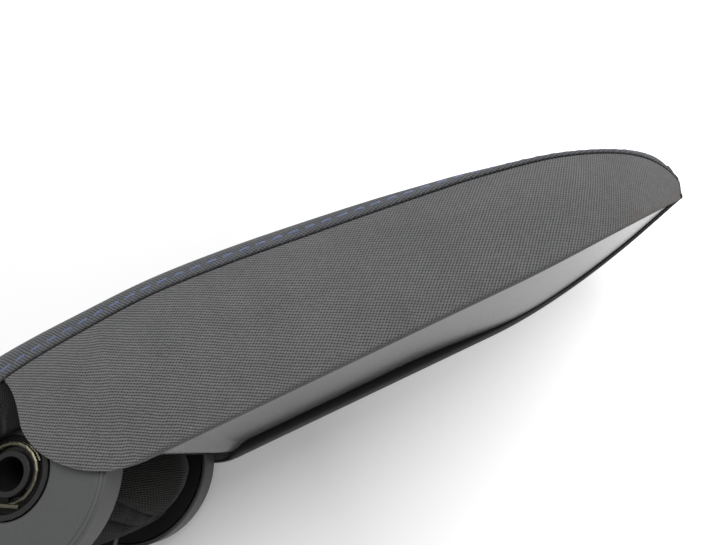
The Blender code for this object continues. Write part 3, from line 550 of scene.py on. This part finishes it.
top_x = np.concatenate([
    np.linspace(TOP_FROM, 0.0, 10)[:-1],
    np.linspace(0.0, NOSE_FROM, 130)[:-1],
    nose_columns(110),
])
top_y, top_z = crown_profile(top_x, TOP_COLUMNS)
top_points = to_row(np.repeat(top_x[:, None], top_y.shape[1], axis=1), top_y, top_z)
top_normal = surface_normals(top_points)
top_normal *= np.sign(top_normal[..., 2].sum())
across_run = path_length(top_points, 1)
to_edge = np.minimum(across_run, across_run[:, -1:] - across_run)
room = np.clip(across_run[:, -1:] / 0.030, 0.0, 1.0)
furrow = FURROW_DEPTH * np.exp(-((to_edge - STITCH_OFFSET) / FURROW_WIDTH) ** 2) * room
pillow = PILLOW_HEIGHT * np.exp(-((to_edge - STITCH_OFFSET * 0.5) / PILLOW_WIDTH) ** 2) * room
rear_run = top_points[..., 0] - top_points[0, 0, 0]
lift = pillow - furrow - rolled(to_edge, TOP_ROLL) * room - rolled(rear_run, TOP_REAR_ROLL)
top_points = top_points + top_normal * lift[..., None]
top_along = path_length(top_points[:, TOP_MIDDLE:TOP_MIDDLE + 1], 0)
top_uv = np.stack([np.repeat(top_along, top_points.shape[1], axis=1), across_run], axis=-1)
blank = np.zeros(top_points.shape[:2])
# Darker, bluer copy of the side cloth: painted shade with a bluish painted reflection.
SHADED_TOP_CLOTH = woven_material(
    "grey_weave_top_painted_shade", radians(52.0), (0.128, 0.130, 0.136), (0.004, 0.004, 0.005), (0.112, 0.117, 0.130))
top = grid_object("top_panel", top_points, top_uv, SHADED_TOP_CLOTH, PANEL_CLOTH, {"hem": blank, "rub": blank})
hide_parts("top_cover")
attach(top, "armrest")


# Seam: the sewn joint between the top and a side, a tight furrow closed by a dark seam thread.
# Its near-black slanted dashes are the thread and also painted shade for the slanted
# shadows of the rolled yarn edge.

SEAM_PITCH = 0.0021
SEAM_SLANT = radians(24.0)
SEAM_LENGTH = SEAM_PITCH * 1.3
SEAM_RADIUS = 0.00044
SEAM_OUT = 0.00012
SEAM_UP = 0.00025
SEAM_BOW = 0.22
THREAD_SIDES = 6


def unit(vectors):
    """Vectors brought to length 1."""
    return vectors / np.linalg.norm(vectors, axis=-1, keepdims=True)


def tubes(name, paths, radius, material):
    """One mesh of round threads. Each path is (points, reference normal), with closed ends."""
    points, faces = [], []
    sides = THREAD_SIDES
    turn = 2.0 * pi * np.arange(sides) / sides
    for path, reference in paths:
        path = np.asarray(path, dtype=float)
        tangent = unit(np.gradient(path, axis=0))
        side_way = unit(np.cross(tangent, reference))
        up_way = np.cross(side_way, tangent)
        swell = radius * np.sqrt(np.clip(1.0 - np.linspace(-1.0, 1.0, len(path)) ** 8, 0.03, 1.0))
        first = len(points)
        for centre, a, b, r in zip(path, side_way, up_way, swell):
            points.extend((centre + r * (np.outer(np.cos(turn), a) + np.outer(np.sin(turn), b))).tolist())
        for k in range(len(path) - 1):
            for j in range(sides):
                after = (j + 1) % sides
                low, high = first + k * sides, first + (k + 1) * sides
                faces.append((low + j, low + after, high + after, high + j))
        faces.append(tuple(first + j for j in reversed(range(sides))))
        faces.append(tuple(first + (len(path) - 1) * sides + j for j in range(sides)))
    mesh = bpy.data.meshes.new(name)
    mesh.from_pydata(points, [], faces)
    mesh.shade_smooth()
    mesh.materials.append(material)
    return new_piece(name, mesh)


def thread_material(name, colour, painted_highlight, pitch, roughness):
    """Twisted thread: slanted strands along its length, with a soft sheen. Each strand's crown takes the
    paler colour as painted highlight and each groove the darker one as painted shade.
    """
    material, tree, shader = new_material(name)
    place = tree.nodes.new("ShaderNodeTexCoord").outputs["Object"]
    split = tree.nodes.new("ShaderNodeSeparateXYZ")
    tree.links.new(place, split.inputs[0])
    slant = calc(tree, "ADD", split.outputs[0], calc(tree, "MULTIPLY", split.outputs[2], 1.2))
    wave = calc(tree, "SINE", calc(tree, "MULTIPLY", slant, 2.0 * pi / pitch))
    strand = calc(tree, "MULTIPLY_ADD", wave, 0.5, 0.5)
    tone = spread(tree, noise(tree, place, 900.0, 2.0), 0.3, 0.7, 0.8, 1.2)
    # Painted highlight on the strand crowns, painted shade in the grooves between them.
    mixed = blend_colour(tree, strand, colour, painted_highlight)
    mixed = blend_colour(tree, 1.0, mixed, even_grey(tree, tone), "MULTIPLY")
    tree.links.new(mixed, shader.inputs["Base Color"])
    shader.inputs["Roughness"].default_value = roughness
    shader.inputs["Sheen Weight"].default_value = 0.2
    add_relief(tree, shader, strand, 0.5, 0.0002)
    return material


def seam_curve(side):
    """Points along the seam, with the way ahead and the outward way at each."""
    x = np.concatenate([np.linspace(-0.0070, NOSE_FROM, 500)[:-1], nose_columns(400, 0.3386)])
    z = seam_line(x)
    y = np.maximum(side_width(x, z), 0.0004)
    points = to_row(x, y * side, z)
    forward = unit(np.gradient(points, axis=0))
    lifted = unit(np.cross(forward, (0.0, 0.0, 1.0)) * -side)
    rise = np.cross(forward, lifted)
    rise *= np.sign(rise[:, 2:3] + 1e-9)
    return points, forward, unit(lifted * 0.86 + rise * 0.50)


def along_curve(points, others, distance):
    """Point and the other vectors at a distance along a curve, and the curve's whole length."""
    run = np.concatenate([[0.0], np.cumsum(np.linalg.norm(np.diff(points, axis=0), axis=1))])
    found = [
        np.array([np.interp(distance, run, values[:, k]) for k in range(3)])
        for values in (points, *others)
    ]
    return found, run[-1]


# Near-black thread colours: the seam thread, darkened further as painted shade in the furrow.
SEAM_THREAD_AND_SHADE = thread_material("seam_thread_and_shade", (0.004, 0.004, 0.005), (0.009, 0.009, 0.010), 0.0009, 0.95)
for side, label in ((-1, "right"), (1, "left")):
    line, ahead, outward = seam_curve(side)
    _, total = along_curve(line, (), 0.0)
    dashes = []
    for k in range(int(total / SEAM_PITCH)):
        (centre, way, out), _ = along_curve(line, (ahead, outward), (k + 0.5) * SEAM_PITCH)
        way = unit(way)
        up_way = np.cross(out, way)
        up_way *= np.sign(up_way[2] + 1e-9)
        slant = way * cos(SEAM_SLANT) - up_way * sin(SEAM_SLANT)
        steps = np.linspace(-0.5, 0.5, 5)[:, None] * SEAM_LENGTH
        middle = centre + out * SEAM_OUT + up_way * SEAM_UP
        dashes.append((middle + slant * steps - out * (np.abs(steps) * SEAM_BOW), out))
    seam = tubes("seam_thread_and_shade_" + label, dashes, SEAM_RADIUS, SEAM_THREAD_AND_SHADE)
    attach(seam, "armrest")


# Topstitching: two strands of grey-blue thread, in long stitches beside each seam,
# each one pulled down into the cloth at both ends.

STITCH_PITCH = 0.0080
STITCH_LENGTH = 0.0058
STITCH_START = 0.004
STITCH_END_ROOM = 0.012
STITCH_STEPS = 9
STITCH_ARCH = 0.00045
STITCH_SINK = 0.00030
STRAND_APART = 0.00030
STRAND_CROSS = 0.00016
STRAND_RADIUS = 0.00031
BLUE_THREAD = thread_material("blue_thread", (0.060, 0.085, 0.180), (0.170, 0.205, 0.330), 0.0011, 0.6)


def stitch_line(side):
    """Points on the top panel beside the seam, where its topstitching runs."""
    picked, way_out = [], []
    for i in range(2, top_points.shape[0] - 3):
        run = to_edge[i]
        half = slice(0, TOP_MIDDLE + 1) if side < 0 else slice(TOP_MIDDLE, None)
        order = np.argsort(run[half])
        at = min(STITCH_OFFSET, run[half].max() * 0.7)
        spot = [np.interp(at, run[half][order], top_points[i, half, k][order]) for k in range(3)]
        way = [np.interp(at, run[half][order], top_normal[i, half, k][order]) for k in range(3)]
        picked.append(spot)
        way_out.append(way)
    return np.array(picked), np.array(way_out)


for side, label in ((-1, "right"), (1, "left")):
    line, outward = stitch_line(side)
    _, total = along_curve(line, (), 0.0)
    strands = []
    for k in range(int((total - STITCH_END_ROOM) / STITCH_PITCH)):
        places = STITCH_START + k * STITCH_PITCH + np.linspace(0.0, STITCH_LENGTH, STITCH_STEPS)
        spots = [along_curve(line, (outward,), place)[0] for place in places]
        middle = np.array([spot[0] for spot in spots])
        out = unit(np.array([spot[1] for spot in spots]))
        beside = np.cross(out, unit(middle[-1] - middle[0]))
        arch = STITCH_ARCH * np.sin(pi * np.linspace(0.02, 0.98, STITCH_STEPS)) ** 0.7 - STITCH_SINK
        cross = np.linspace(-1.0, 1.0, STITCH_STEPS) * STRAND_CROSS
        for strand in (-1, 1):
            shift = strand * STRAND_APART + cross
            path = middle + out * arch[:, None] + beside * shift[:, None]
            strands.append((path, out[STITCH_STEPS // 2]))
    stitches = tubes("topstitch_" + label, strands, STRAND_RADIUS, BLUE_THREAD)
    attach(stitches, "armrest")


# Rear cover: a plain dark cloth, darkened to near-black as painted shade, pulled over the back
# of the foam and the tops of the hinge ears, tucked under the woven panels and loosely creased
# where it ends.

def dark_cloth_material(name, colour, painted_highlight, rib, cross, sheen):
    """Fine dark knit. Ribs run across u at the rib pitch and are broken up along v. The rib crowns take the
    paler colour as painted highlight, the gaps between them the darker one as painted shade.
    """
    material, tree, shader = new_material(name)
    cloth = tree.nodes.new("ShaderNodeUVMap")
    cloth.uv_map = "cloth"
    wander = noise(tree, cloth.outputs[0], 120.0, 3.0)
    split = tree.nodes.new("ShaderNodeSeparateXYZ")
    tree.links.new(cloth.outputs[0], split.inputs[0])
    drift = calc(tree, "MULTIPLY", calc(tree, "SUBTRACT", wander, 0.5), rib * 1.6)
    u = calc(tree, "DIVIDE", calc(tree, "ADD", split.outputs[0], drift), rib)
    v = calc(tree, "DIVIDE", calc(tree, "ADD", split.outputs[1], drift), cross)
    shifted = calc(tree, "ADD", v, calc(tree, "MULTIPLY", calc(tree, "FLOOR", u), 0.5))
    broken = calc(tree, "MULTIPLY_ADD", ridge(tree, shifted), 0.55, 0.45)
    loop = calc(tree, "MULTIPLY", ridge(tree, u), broken)
    fuzz = noise(tree, cloth.outputs[0], 1900.0, 3.0, 0.7)
    level = calc(tree, "MULTIPLY", loop, spread(tree, fuzz, 0.3, 0.7, 0.7, 1.2))
    # Painted highlight on the rib crowns and painted shade between them.
    tree.links.new(blend_colour(tree, level, colour, painted_highlight), shader.inputs["Base Color"])
    shader.inputs["Roughness"].default_value = 0.95
    shader.inputs["Specular IOR Level"].default_value = 0.2
    shader.inputs["Sheen Weight"].default_value = sheen
    shader.inputs["Sheen Roughness"].default_value = 0.35
    add_relief(tree, shader, calc(tree, "MULTIPLY_ADD", fuzz, 0.2, loop), 0.8, 0.0004)
    return material


# Painted shade: the rear cloth is coloured near-black, darker than its own dark colour.
SHADED_DARK_CLOTH = dark_cloth_material(
    "dark_cloth", (0.002, 0.002, 0.002), (0.012, 0.012, 0.013), 0.0009, 0.0011, 0.05)
REAR_FROM = -0.0318
REAR_TO = 0.0178
FLAP_LOW = 0.0355
FLAP_ROWS = 44
TUCK = 0.0019
TUCK_RUN = 0.0035
REAR_ROLL = 0.0012
rear_x = np.linspace(REAR_FROM, REAR_TO, 84)
flap_share = np.linspace(0.0, 1.0, FLAP_ROWS)
crown_y, crown_z = crown_profile(rear_x, 65)
flap_top = seam_line(rear_x)[:, None]
flap_z = FLAP_LOW + (flap_top - FLAP_LOW) * flap_share[None, :]
flap_y = side_width(rear_x[:, None], flap_z)
rear_y = np.concatenate([-flap_y[:, :-1], crown_y, flap_y[:, ::-1][:, 1:]], axis=1)
rear_z = np.concatenate([flap_z[:, :-1], crown_z, flap_z[:, ::-1][:, 1:]], axis=1)
rear_points = to_row(np.repeat(rear_x[:, None], rear_y.shape[1], axis=1), rear_y, rear_z)
rear_normal = surface_normals(rear_points)
rear_normal *= np.sign(rear_normal[..., 2].sum())
on_side = np.zeros(rear_points.shape[:2])
on_side[:, :FLAP_ROWS - 1] = 1.0
on_side[:, -(FLAP_ROWS - 1):] = 1.0
limit = np.where(on_side > 0, rear_edge(rear_z), TOP_FROM)
tuck = TUCK * ease((rear_x[:, None] - limit + TUCK_RUN) / TUCK_RUN)
rear_across = path_length(rear_points, 1)
from_hem = np.minimum(rear_across, rear_across[:, -1:] - rear_across)
# Two crossing ripples along the free hem, and one crease above it.
hang = 1.0 - ease(from_hem / 0.022)
wave = np.sin(2.0 * pi * (rear_x[:, None] / 0.0085 + from_hem / 0.030 + 0.15)) * 0.00045
wave += np.sin(2.0 * pi * (rear_x[:, None] / 0.0052 - from_hem / 0.019)) * 0.00025
crease = 0.0007 * np.exp(-((from_hem - 0.0085 - 0.25 * (rear_x[:, None] + 0.01)) / 0.0011) ** 2)
rear_run = rear_points[..., 0] - rear_points[0, 0, 0]
fall = tuck + rolled(from_hem, REAR_ROLL) + rolled(rear_run, REAR_ROLL) + crease * (rear_x[:, None] < 0.006)
rear_points = rear_points + rear_normal * (wave * hang - fall)[..., None]
rear_uv = np.stack([path_length(rear_points, 0), path_length(rear_points, 1)], axis=-1)
rear_cover = grid_object("rear_cloth", rear_points, rear_uv, SHADED_DARK_CLOTH, CLOTH * 0.7)
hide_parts("rear_cover")
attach(rear_cover, "armrest")


# Ear covers: two moulded grey caps with a fine grain, a beaded edge between face and rim,
# and a softly rounded hole for the spring cup; they clip over the hinge arms.

def moulded_material(name, colour, roughness, grain=0.35, scale=2400.0, edge_highlight=0.0, uneven=0.10):
    """Moulded plastic: fine spark-eroded grain, faint cloudiness and sharp edges painted paler as a
    highlight.
    """
    material, tree, shader = new_material(name)
    place = tree.nodes.new("ShaderNodeTexCoord").outputs["Object"]
    fine = noise(tree, place, scale, 2.0, 0.6)
    cloud = noise(tree, place, 45.0, 3.0)
    tone = calc(tree, "MULTIPLY", spread(tree, fine, 0.3, 0.7, 1.0 - uneven, 1.0 + uneven),
                spread(tree, cloud, 0.3, 0.7, 0.96, 1.04))
    base = blend_colour(tree, 1.0, colour, even_grey(tree, tone), "MULTIPLY")
    if edge_highlight:
        # Painted highlight: sharp edges are painted paler.
        edge = tree.nodes.new("ShaderNodeNewGeometry").outputs["Pointiness"]
        edge_highlight_share = calc(tree, "MULTIPLY", spread(tree, edge, 0.53, 0.60), edge_highlight)
        base = blend_colour(tree, edge_highlight_share, base, tuple(min(1.0, c * 2.2 + 0.03) for c in colour))
    tree.links.new(base, shader.inputs["Base Color"])
    gloss = spread(tree, fine, 0.3, 0.7, roughness - 0.06, roughness + 0.08)
    tree.links.new(gloss, shader.inputs["Roughness"])
    add_relief(tree, shader, fine, grain, 0.00012)
    return material


EAR_PLASTIC = moulded_material("grey_plastic", (0.066, 0.067, 0.068), 0.46, 0.5, edge_highlight=0.35)
EAR_RADIUS = 0.045
EAR_FACE = 0.0581
EAR_BACK = 0.0447
EAR_CHORD = 0.0235
EAR_HOLE = 0.0190
HOLE_ROUND = 0.0018
quarter = np.radians(np.linspace(0.0, 90.0, 8))
# Radius and distance from the middle, from inside the hole over the face to the back edge.
ear_profile = [(EAR_HOLE, 0.0520), (EAR_HOLE, 0.0545), (EAR_HOLE, 0.0563)]
ear_profile += [
    (EAR_HOLE + HOLE_ROUND * (1.0 - cos(a)), EAR_FACE - HOLE_ROUND * (1.0 - sin(a))) for a in quarter
]
ear_profile += [(r, EAR_FACE) for r in (0.0215, 0.0235, 0.0270, 0.0310, 0.0350, 0.0390, 0.0410, 0.0417)]
ear_profile += [(0.0419, EAR_FACE - 0.0001), (0.0421, EAR_FACE - 0.0006), (0.0423, EAR_FACE - 0.0001)]
ear_profile += [(0.0425, EAR_FACE + 0.0001), (0.0430, EAR_FACE + 0.0002), (0.0436, EAR_FACE)]
ear_profile += [(0.0438, EAR_FACE - 0.0002), (0.0440, EAR_FACE - 0.0008), (0.0442, EAR_FACE - 0.0003)]
ear_profile += [
    (EAR_RADIUS - 0.0007 * (1 - sin(a)), EAR_FACE - 0.0004 - 0.0007 * (1 - cos(a))) for a in quarter[2:]
]
ear_profile += [(EAR_RADIUS, y) for y in (0.0560, 0.0530, 0.0500, 0.0470, 0.0452)]
ear_profile += [(0.0448, EAR_BACK), (0.0430, EAR_BACK)]
ear_profile += [(0.0428, y) for y in (0.0450, 0.0500, 0.0555)]
ear_profile = np.array(ear_profile)
around = np.linspace(0.0, 2.0 * pi, 289)[:-1]
radius = ear_profile[:, :1]
upward_share = np.sin(around)[None, :]
top_limit = (EAR_CHORD - (EAR_RADIUS - np.maximum(radius, 0.0300))) / np.maximum(upward_share, 1e-6)
cut_radius = np.minimum(radius, np.maximum(top_limit, EAR_HOLE - 0.0001))
reach = np.where(upward_share > 0.05, cut_radius, radius)
for side, label in ((-1, "right"), (1, "left")):
    ear_points = np.stack([
        HINGE[0] + reach * np.cos(around),
        np.repeat(side * ear_profile[:, 1:], len(around), axis=1),
        HINGE[2] + reach * np.sin(around),
    ], axis=-1)
    if side > 0:
        ear_points = ear_points[::-1]
    ear_uv = np.stack([ear_points[..., 0], ear_points[..., 2]], axis=-1)
    ear = grid_object("ear_shell_" + label, ear_points, ear_uv, EAR_PLASTIC, closed_columns=True)
    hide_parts("ear_cover_" + label)
    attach(ear, "armrest")


# Hinge gaiter: a sleeve of ribbed knit between the ears, sewn to the front of the well
# and the tray; slack at rest, it bulges and falls in folds over the bracket. Its near-black
# colour is painted shade under the pad, its pale rib colour painted highlight on the bulge.

GAITER_FROM = -13.5
GAITER_TO = -97.0
GAITER_HALF_WIDTH = 0.0443
GAITER_SIDE_RADIUS = 0.0315
# Angle about the hinge in degrees and radius in millimetres, down the middle of the gaiter.
fold_knots = np.array((
    (-13.0, 48.0), (-20.0, 50.6), (-27.0, 52.0), (-38.0, 51.2), (-46.0, 49.0), (-51.0, 46.8), (-53.5, 44.6),
    (-55.0, 41.8), (-57.0, 43.0), (-60.0, 42.9), (-64.0, 41.2), (-67.5, 38.6), (-70.0, 35.4), (-71.5, 33.2),
    (-73.5, 35.4), (-78.0, 37.0), (-86.0, 37.6), (-97.0, 37.6),
))
gaiter_angle = np.linspace(GAITER_FROM, GAITER_TO, 330)[:, None]
gaiter_y = np.sin(np.linspace(-pi / 2, pi / 2, 91))[None, :]
slip = 17.0 * np.abs(gaiter_y) ** 1.2 * ease((gaiter_angle - GAITER_FROM) / (-24.0))
shifted_angle = gaiter_angle - slip
knot_angle, knot_radius = fold_knots[::-1, 0], fold_knots[::-1, 1] * 0.001
fine_angle = np.linspace(-125.0, 0.0, 900)
rough = np.interp(fine_angle, knot_angle, knot_radius)


def smoothed(values, width):
    """Running mean of values over an odd number of steps."""
    window = np.hanning(width)
    return np.convolve(np.pad(values, width // 2, mode="edge"), window / window.sum(), mode="valid")


middle_radius = smoothed(rough, 13)
calm_radius = smoothed(rough, 121)
full = 1.0 - np.abs(gaiter_y) ** 1.5
at_middle = np.interp(shifted_angle, fine_angle, middle_radius)
crease_depth = np.interp(shifted_angle, fine_angle, middle_radius - calm_radius)
side_radius = GAITER_SIDE_RADIUS + crease_depth * 0.5 + 0.0030 * ease((gaiter_angle + 60.0) / (-14.0))
gaiter_radius = side_radius + (at_middle - side_radius) * full
near_fold = np.exp(-((gaiter_angle + 54.0) / 9.0) ** 2)
gaiter_radius = gaiter_radius + 0.00035 * np.sin(gaiter_y * 23.0 + gaiter_angle * 0.11) * near_fold
turned = np.radians(gaiter_angle)
gaiter_points = np.stack([
    HINGE[0] + gaiter_radius * np.cos(turned),
    np.repeat(gaiter_y * GAITER_HALF_WIDTH, len(gaiter_angle), axis=0),
    HINGE[2] + gaiter_radius * np.sin(turned),
], axis=-1)
# Near-black base as painted shade, pale rib colour as painted highlight.
SHADED_KNIT = dark_cloth_material(
    "ribbed_knit_painted_shade", (0.001, 0.001, 0.001), (0.040, 0.040, 0.037), 0.00115, 0.0015, 0.10)
gaiter_uv = np.stack([path_length(gaiter_points, 0), path_length(gaiter_points, 1)], axis=-1)
gaiter = grid_object("ribbed_gaiter", gaiter_points, gaiter_uv, SHADED_KNIT, 0.0010)
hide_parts("hinge_gaiter")
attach(gaiter, "armrest")


# Bottom cover: one smooth moulded panel in satin silver-grey, snapped up between the
# turned-in edges of the cloth.

def finish_node(material, *names):
    """Give CAD pieces that stay a finish of their own."""
    for name in names:
        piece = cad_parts[name]
        for k in range(len(piece.material_slots)):
            piece.material_slots[k].link = "OBJECT"
            piece.material_slots[k].material = material


BOTTOM_FROM = 0.0550
BOTTOM_STRAIGHT = 0.0700
BOTTOM_TO = 0.3300
SILVER_PLASTIC = moulded_material("silver_plastic", (0.120, 0.121, 0.118), 0.24, 0.02, 1500.0, uneven=0.015)
SILVER_PLASTIC.node_tree.nodes["Principled BSDF"].inputs["Specular IOR Level"].default_value = 1.0
bottom_x = np.concatenate([
    np.linspace(BOTTOM_FROM, BOTTOM_STRAIGHT, 14)[:-1],
    np.linspace(BOTTOM_STRAIGHT, NOSE_FROM, 70)[:-1],
    nose_columns(50, BOTTOM_TO),
])
bottom_base = lower_line(bottom_x)
edge = side_width(bottom_x, bottom_base + LIP_ROUND) - lip_width(bottom_x) + 0.0010
dip = 0.0024 * (1.0 - ease((bottom_x - BOTTOM_FROM) / 0.0120))
level = bottom_base + lip_depth(bottom_x) - 0.0003 - dip
spans = np.sin(np.linspace(-pi / 2, pi / 2, 41))
bottom_y = edge[:, None] * spans
bottom_z = level[:, None] + 0.0006 * (np.abs(spans) ** 8)
bottom_points = to_row(np.repeat(bottom_x[:, None], len(spans), axis=1), bottom_y, bottom_z)[:, ::-1]
bottom_uv = bottom_points[..., :2].copy()
bottom = grid_object("bottom_panel", bottom_points, bottom_uv, SILVER_PLASTIC, 0.0011)
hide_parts("bottom_cover")
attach(bottom, "armrest")


# Hinge inside the ears: black moulded liners, well, tray and spring cups, painted steel arms
# and bracket, the hinge tube and plated springs, both darkened as painted shade deep in the hole,
# clips and screws, and acetal bushes.

def metal_material(name, colour, roughness, metallic, streak):
    """Plated or painted steel with faint drawing marks and slightly uneven gloss."""
    material, tree, shader = new_material(name)
    place = tree.nodes.new("ShaderNodeTexCoord").outputs["Object"]
    stretch = tree.nodes.new("ShaderNodeMapping")
    stretch.inputs["Scale"].default_value = (1.0, streak, 1.0)
    tree.links.new(place, stretch.inputs["Vector"])
    fine = noise(tree, stretch.outputs[0], 700.0, 3.0, 0.6)
    cloud = noise(tree, place, 60.0, 3.0)
    tone = calc(tree, "MULTIPLY", spread(tree, fine, 0.3, 0.7, 0.88, 1.12),
                spread(tree, cloud, 0.3, 0.7, 0.9, 1.1))
    base = blend_colour(tree, 1.0, colour, even_grey(tree, tone), "MULTIPLY")
    gloss = spread(tree, fine, 0.3, 0.7, roughness - 0.07, roughness + 0.1)
    tree.links.new(base, shader.inputs["Base Color"])
    tree.links.new(gloss, shader.inputs["Roughness"])
    shader.inputs["Metallic"].default_value = metallic
    add_relief(tree, shader, fine, 0.15, 0.0001)
    return material


BLACK_PLASTIC = moulded_material("black_plastic", (0.006, 0.006, 0.006), 0.60, 0.4, 1800.0)
finish_node(BLACK_PLASTIC, "ear_liner_right", "ear_liner_left", "hinge_well", "carrier_tray",
            "spring_cup_right", "spring_cup_left")
PAINTED_STEEL = metal_material("black_paint", (0.030, 0.030, 0.032), 0.42, 0.0, 1.0)
finish_node(PAINTED_STEEL, "hinge_bracket", "hinge_arm_right", "hinge_arm_left", "stop_bar")
# Painted shade: the hinge tube is coloured black, as it lies deep in the hole.
finish_node(metal_material("hinge_tube_painted_shade", (0.004, 0.004, 0.004), 0.55, 0.0, 8.0), "pivot_tube")
# Painted shade: the springs are coloured far darker than plated steel.
finish_node(metal_material("spring_steel_painted_shade", (0.150, 0.142, 0.105), 0.38, 1.0, 1.0),
            "torsion_spring_right", "torsion_spring_left")
finish_node(metal_material("yellow_zinc", (0.40, 0.36, 0.24), 0.32, 1.0, 1.0),
            *[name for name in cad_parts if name.startswith("arm_screw")])
finish_node(metal_material("phosphated_steel", (0.030, 0.029, 0.027), 0.50, 0.6, 1.0),
            "retaining_clip_right", "retaining_clip_left")
finish_node(moulded_material("acetal", (0.60, 0.58, 0.52), 0.35, 0.1, 1200.0),
            "hinge_bush_right", "hinge_bush_left")


# Foam core: moulded charcoal polyurethane foam with an open skin. It lies under the covers, and
# only a narrow strip of it shows from behind, between the rear cover and the hinge well.

def foam_material():
    """Open foam skin: small pores painted dark as shade, with paler walls between them."""
    material, tree, shader = new_material("moulded_foam")
    place = tree.nodes.new("ShaderNodeTexCoord").outputs["Object"]
    cells = tree.nodes.new("ShaderNodeTexVoronoi")
    cells.inputs["Scale"].default_value = 1100.0
    tree.links.new(place, cells.inputs["Vector"])
    depth = spread(tree, cells.outputs["Distance"], 0.0, 0.6)
    warm = blend_colour(tree, noise(tree, place, 30.0, 3.0), (0.034, 0.034, 0.036), (0.046, 0.046, 0.048))
    tree.links.new(blend_colour(tree, depth, (0.012, 0.012, 0.013), warm), shader.inputs["Base Color"])
    shader.inputs["Roughness"].default_value = 0.95
    add_relief(tree, shader, cells.outputs["Distance"], 0.7, 0.0004)
    return material


finish_node(foam_material(), "foam_core")


# Backdrop, light and camera: a white paper board close behind the armrest, which takes its
# shadow and glows brighter to the right as painted light, one broad soft light above the
# camera's side, and pale room light from all round.

GLOW_FROM_TO = (0.15, 0.40)
PAPER_GLOW = (0.165, 0.60)
BOARD_Y = 0.068
BOARD_REACH = 3.0


def studio_surface():
    """White paper that glows brighter to the right for camera and glossy rays: painted light, which also
    paints a reflection on the bottom panel. Clear from behind.
    """
    material = bpy.data.materials.new("white_paper")
    material.use_nodes = True
    tree = material.node_tree
    tree.nodes.clear()
    output = tree.nodes.new("ShaderNodeOutputMaterial")
    paper = tree.nodes.new("ShaderNodeBsdfDiffuse")
    paper.inputs["Color"].default_value = (0.80, 0.80, 0.80, 1.0)
    glow = tree.nodes.new("ShaderNodeEmission")
    both = tree.nodes.new("ShaderNodeAddShader")
    clear = tree.nodes.new("ShaderNodeBsdfTransparent")
    ray = tree.nodes.new("ShaderNodeLightPath")
    face = tree.nodes.new("ShaderNodeNewGeometry")
    seen = tree.nodes.new("ShaderNodeMixShader")
    place = tree.nodes.new("ShaderNodeSeparateXYZ")
    tree.links.new(face.outputs["Position"], place.inputs[0])
    # Painted light: the glow rises to the right, for camera and glossy rays.
    tree.links.new(spread(tree, place.outputs[0], *GLOW_FROM_TO, *PAPER_GLOW), glow.inputs["Strength"])
    bright = calc(tree, "MAXIMUM", ray.outputs["Is Camera Ray"], ray.outputs["Is Glossy Ray"])
    tree.links.new(bright, seen.inputs[0])
    tree.links.new(paper.outputs[0], seen.inputs[1])
    tree.links.new(paper.outputs[0], both.inputs[0])
    tree.links.new(glow.outputs[0], both.inputs[1])
    tree.links.new(both.outputs[0], seen.inputs[2])
    away = calc(tree, "MAXIMUM", face.outputs["Backfacing"], ray.outputs["Is Shadow Ray"])
    shown = tree.nodes.new("ShaderNodeMixShader")
    tree.links.new(away, shown.inputs[0])
    tree.links.new(seen.outputs[0], shown.inputs[1])
    tree.links.new(clear.outputs[0], shown.inputs[2])
    tree.links.new(shown.outputs[0], output.inputs[0])
    return material


board_corners = [
    (x * BOARD_REACH, BOARD_Y, z * BOARD_REACH) for x, z in ((-1, -1), (1, -1), (1, 1), (-1, 1))
]
board_mesh = bpy.data.meshes.new("backdrop")
board_mesh.from_pydata(board_corners, [], [(0, 1, 2, 3)])
board_mesh.materials.append(studio_surface())
board = new_piece("backdrop", board_mesh)

world = bpy.data.worlds.new("soft_room")
world.use_nodes = True
world.node_tree.nodes["Background"].inputs["Color"].default_value = (1.0, 1.0, 1.0, 1.0)
world.node_tree.nodes["Background"].inputs["Strength"].default_value = 0.50
bpy.context.scene.world = world


KEY_PLACE = Vector((0.80, -1.40, 0.62))
KEY_TARGET = Vector((0.20, 0.0, 0.08))
key_light = bpy.data.lights.new("key", "AREA")
key_light.shape = "SQUARE"
key_light.size = 1.0
key_light.energy = 21.5
key = new_piece("key", key_light)
key.location = KEY_PLACE
key.rotation_mode = "QUATERNION"
key.rotation_quaternion = (KEY_TARGET - KEY_PLACE).to_track_quat("-Z", "Y")

CAMERA_PLACE = Vector((0.2245, -0.2878, 0.0149))
CAMERA_RIGHT = Vector((0.9026, 0.1380, -0.4078))
CAMERA_UP = Vector((0.4305, -0.2894, 0.8549))
camera_data = bpy.data.cameras.new("camera")
camera_data.sensor_width = 36.0
camera_data.lens = 28.02
camera_data.clip_start = 0.01
camera = new_piece("camera", camera_data)
aim = Matrix((CAMERA_RIGHT, CAMERA_UP, CAMERA_RIGHT.cross(CAMERA_UP))).transposed()
camera.matrix_world = Matrix.Translation(CAMERA_PLACE) @ aim.to_4x4()
bpy.context.scene.camera = camera
bpy.context.scene.view_settings.view_transform = "Standard"
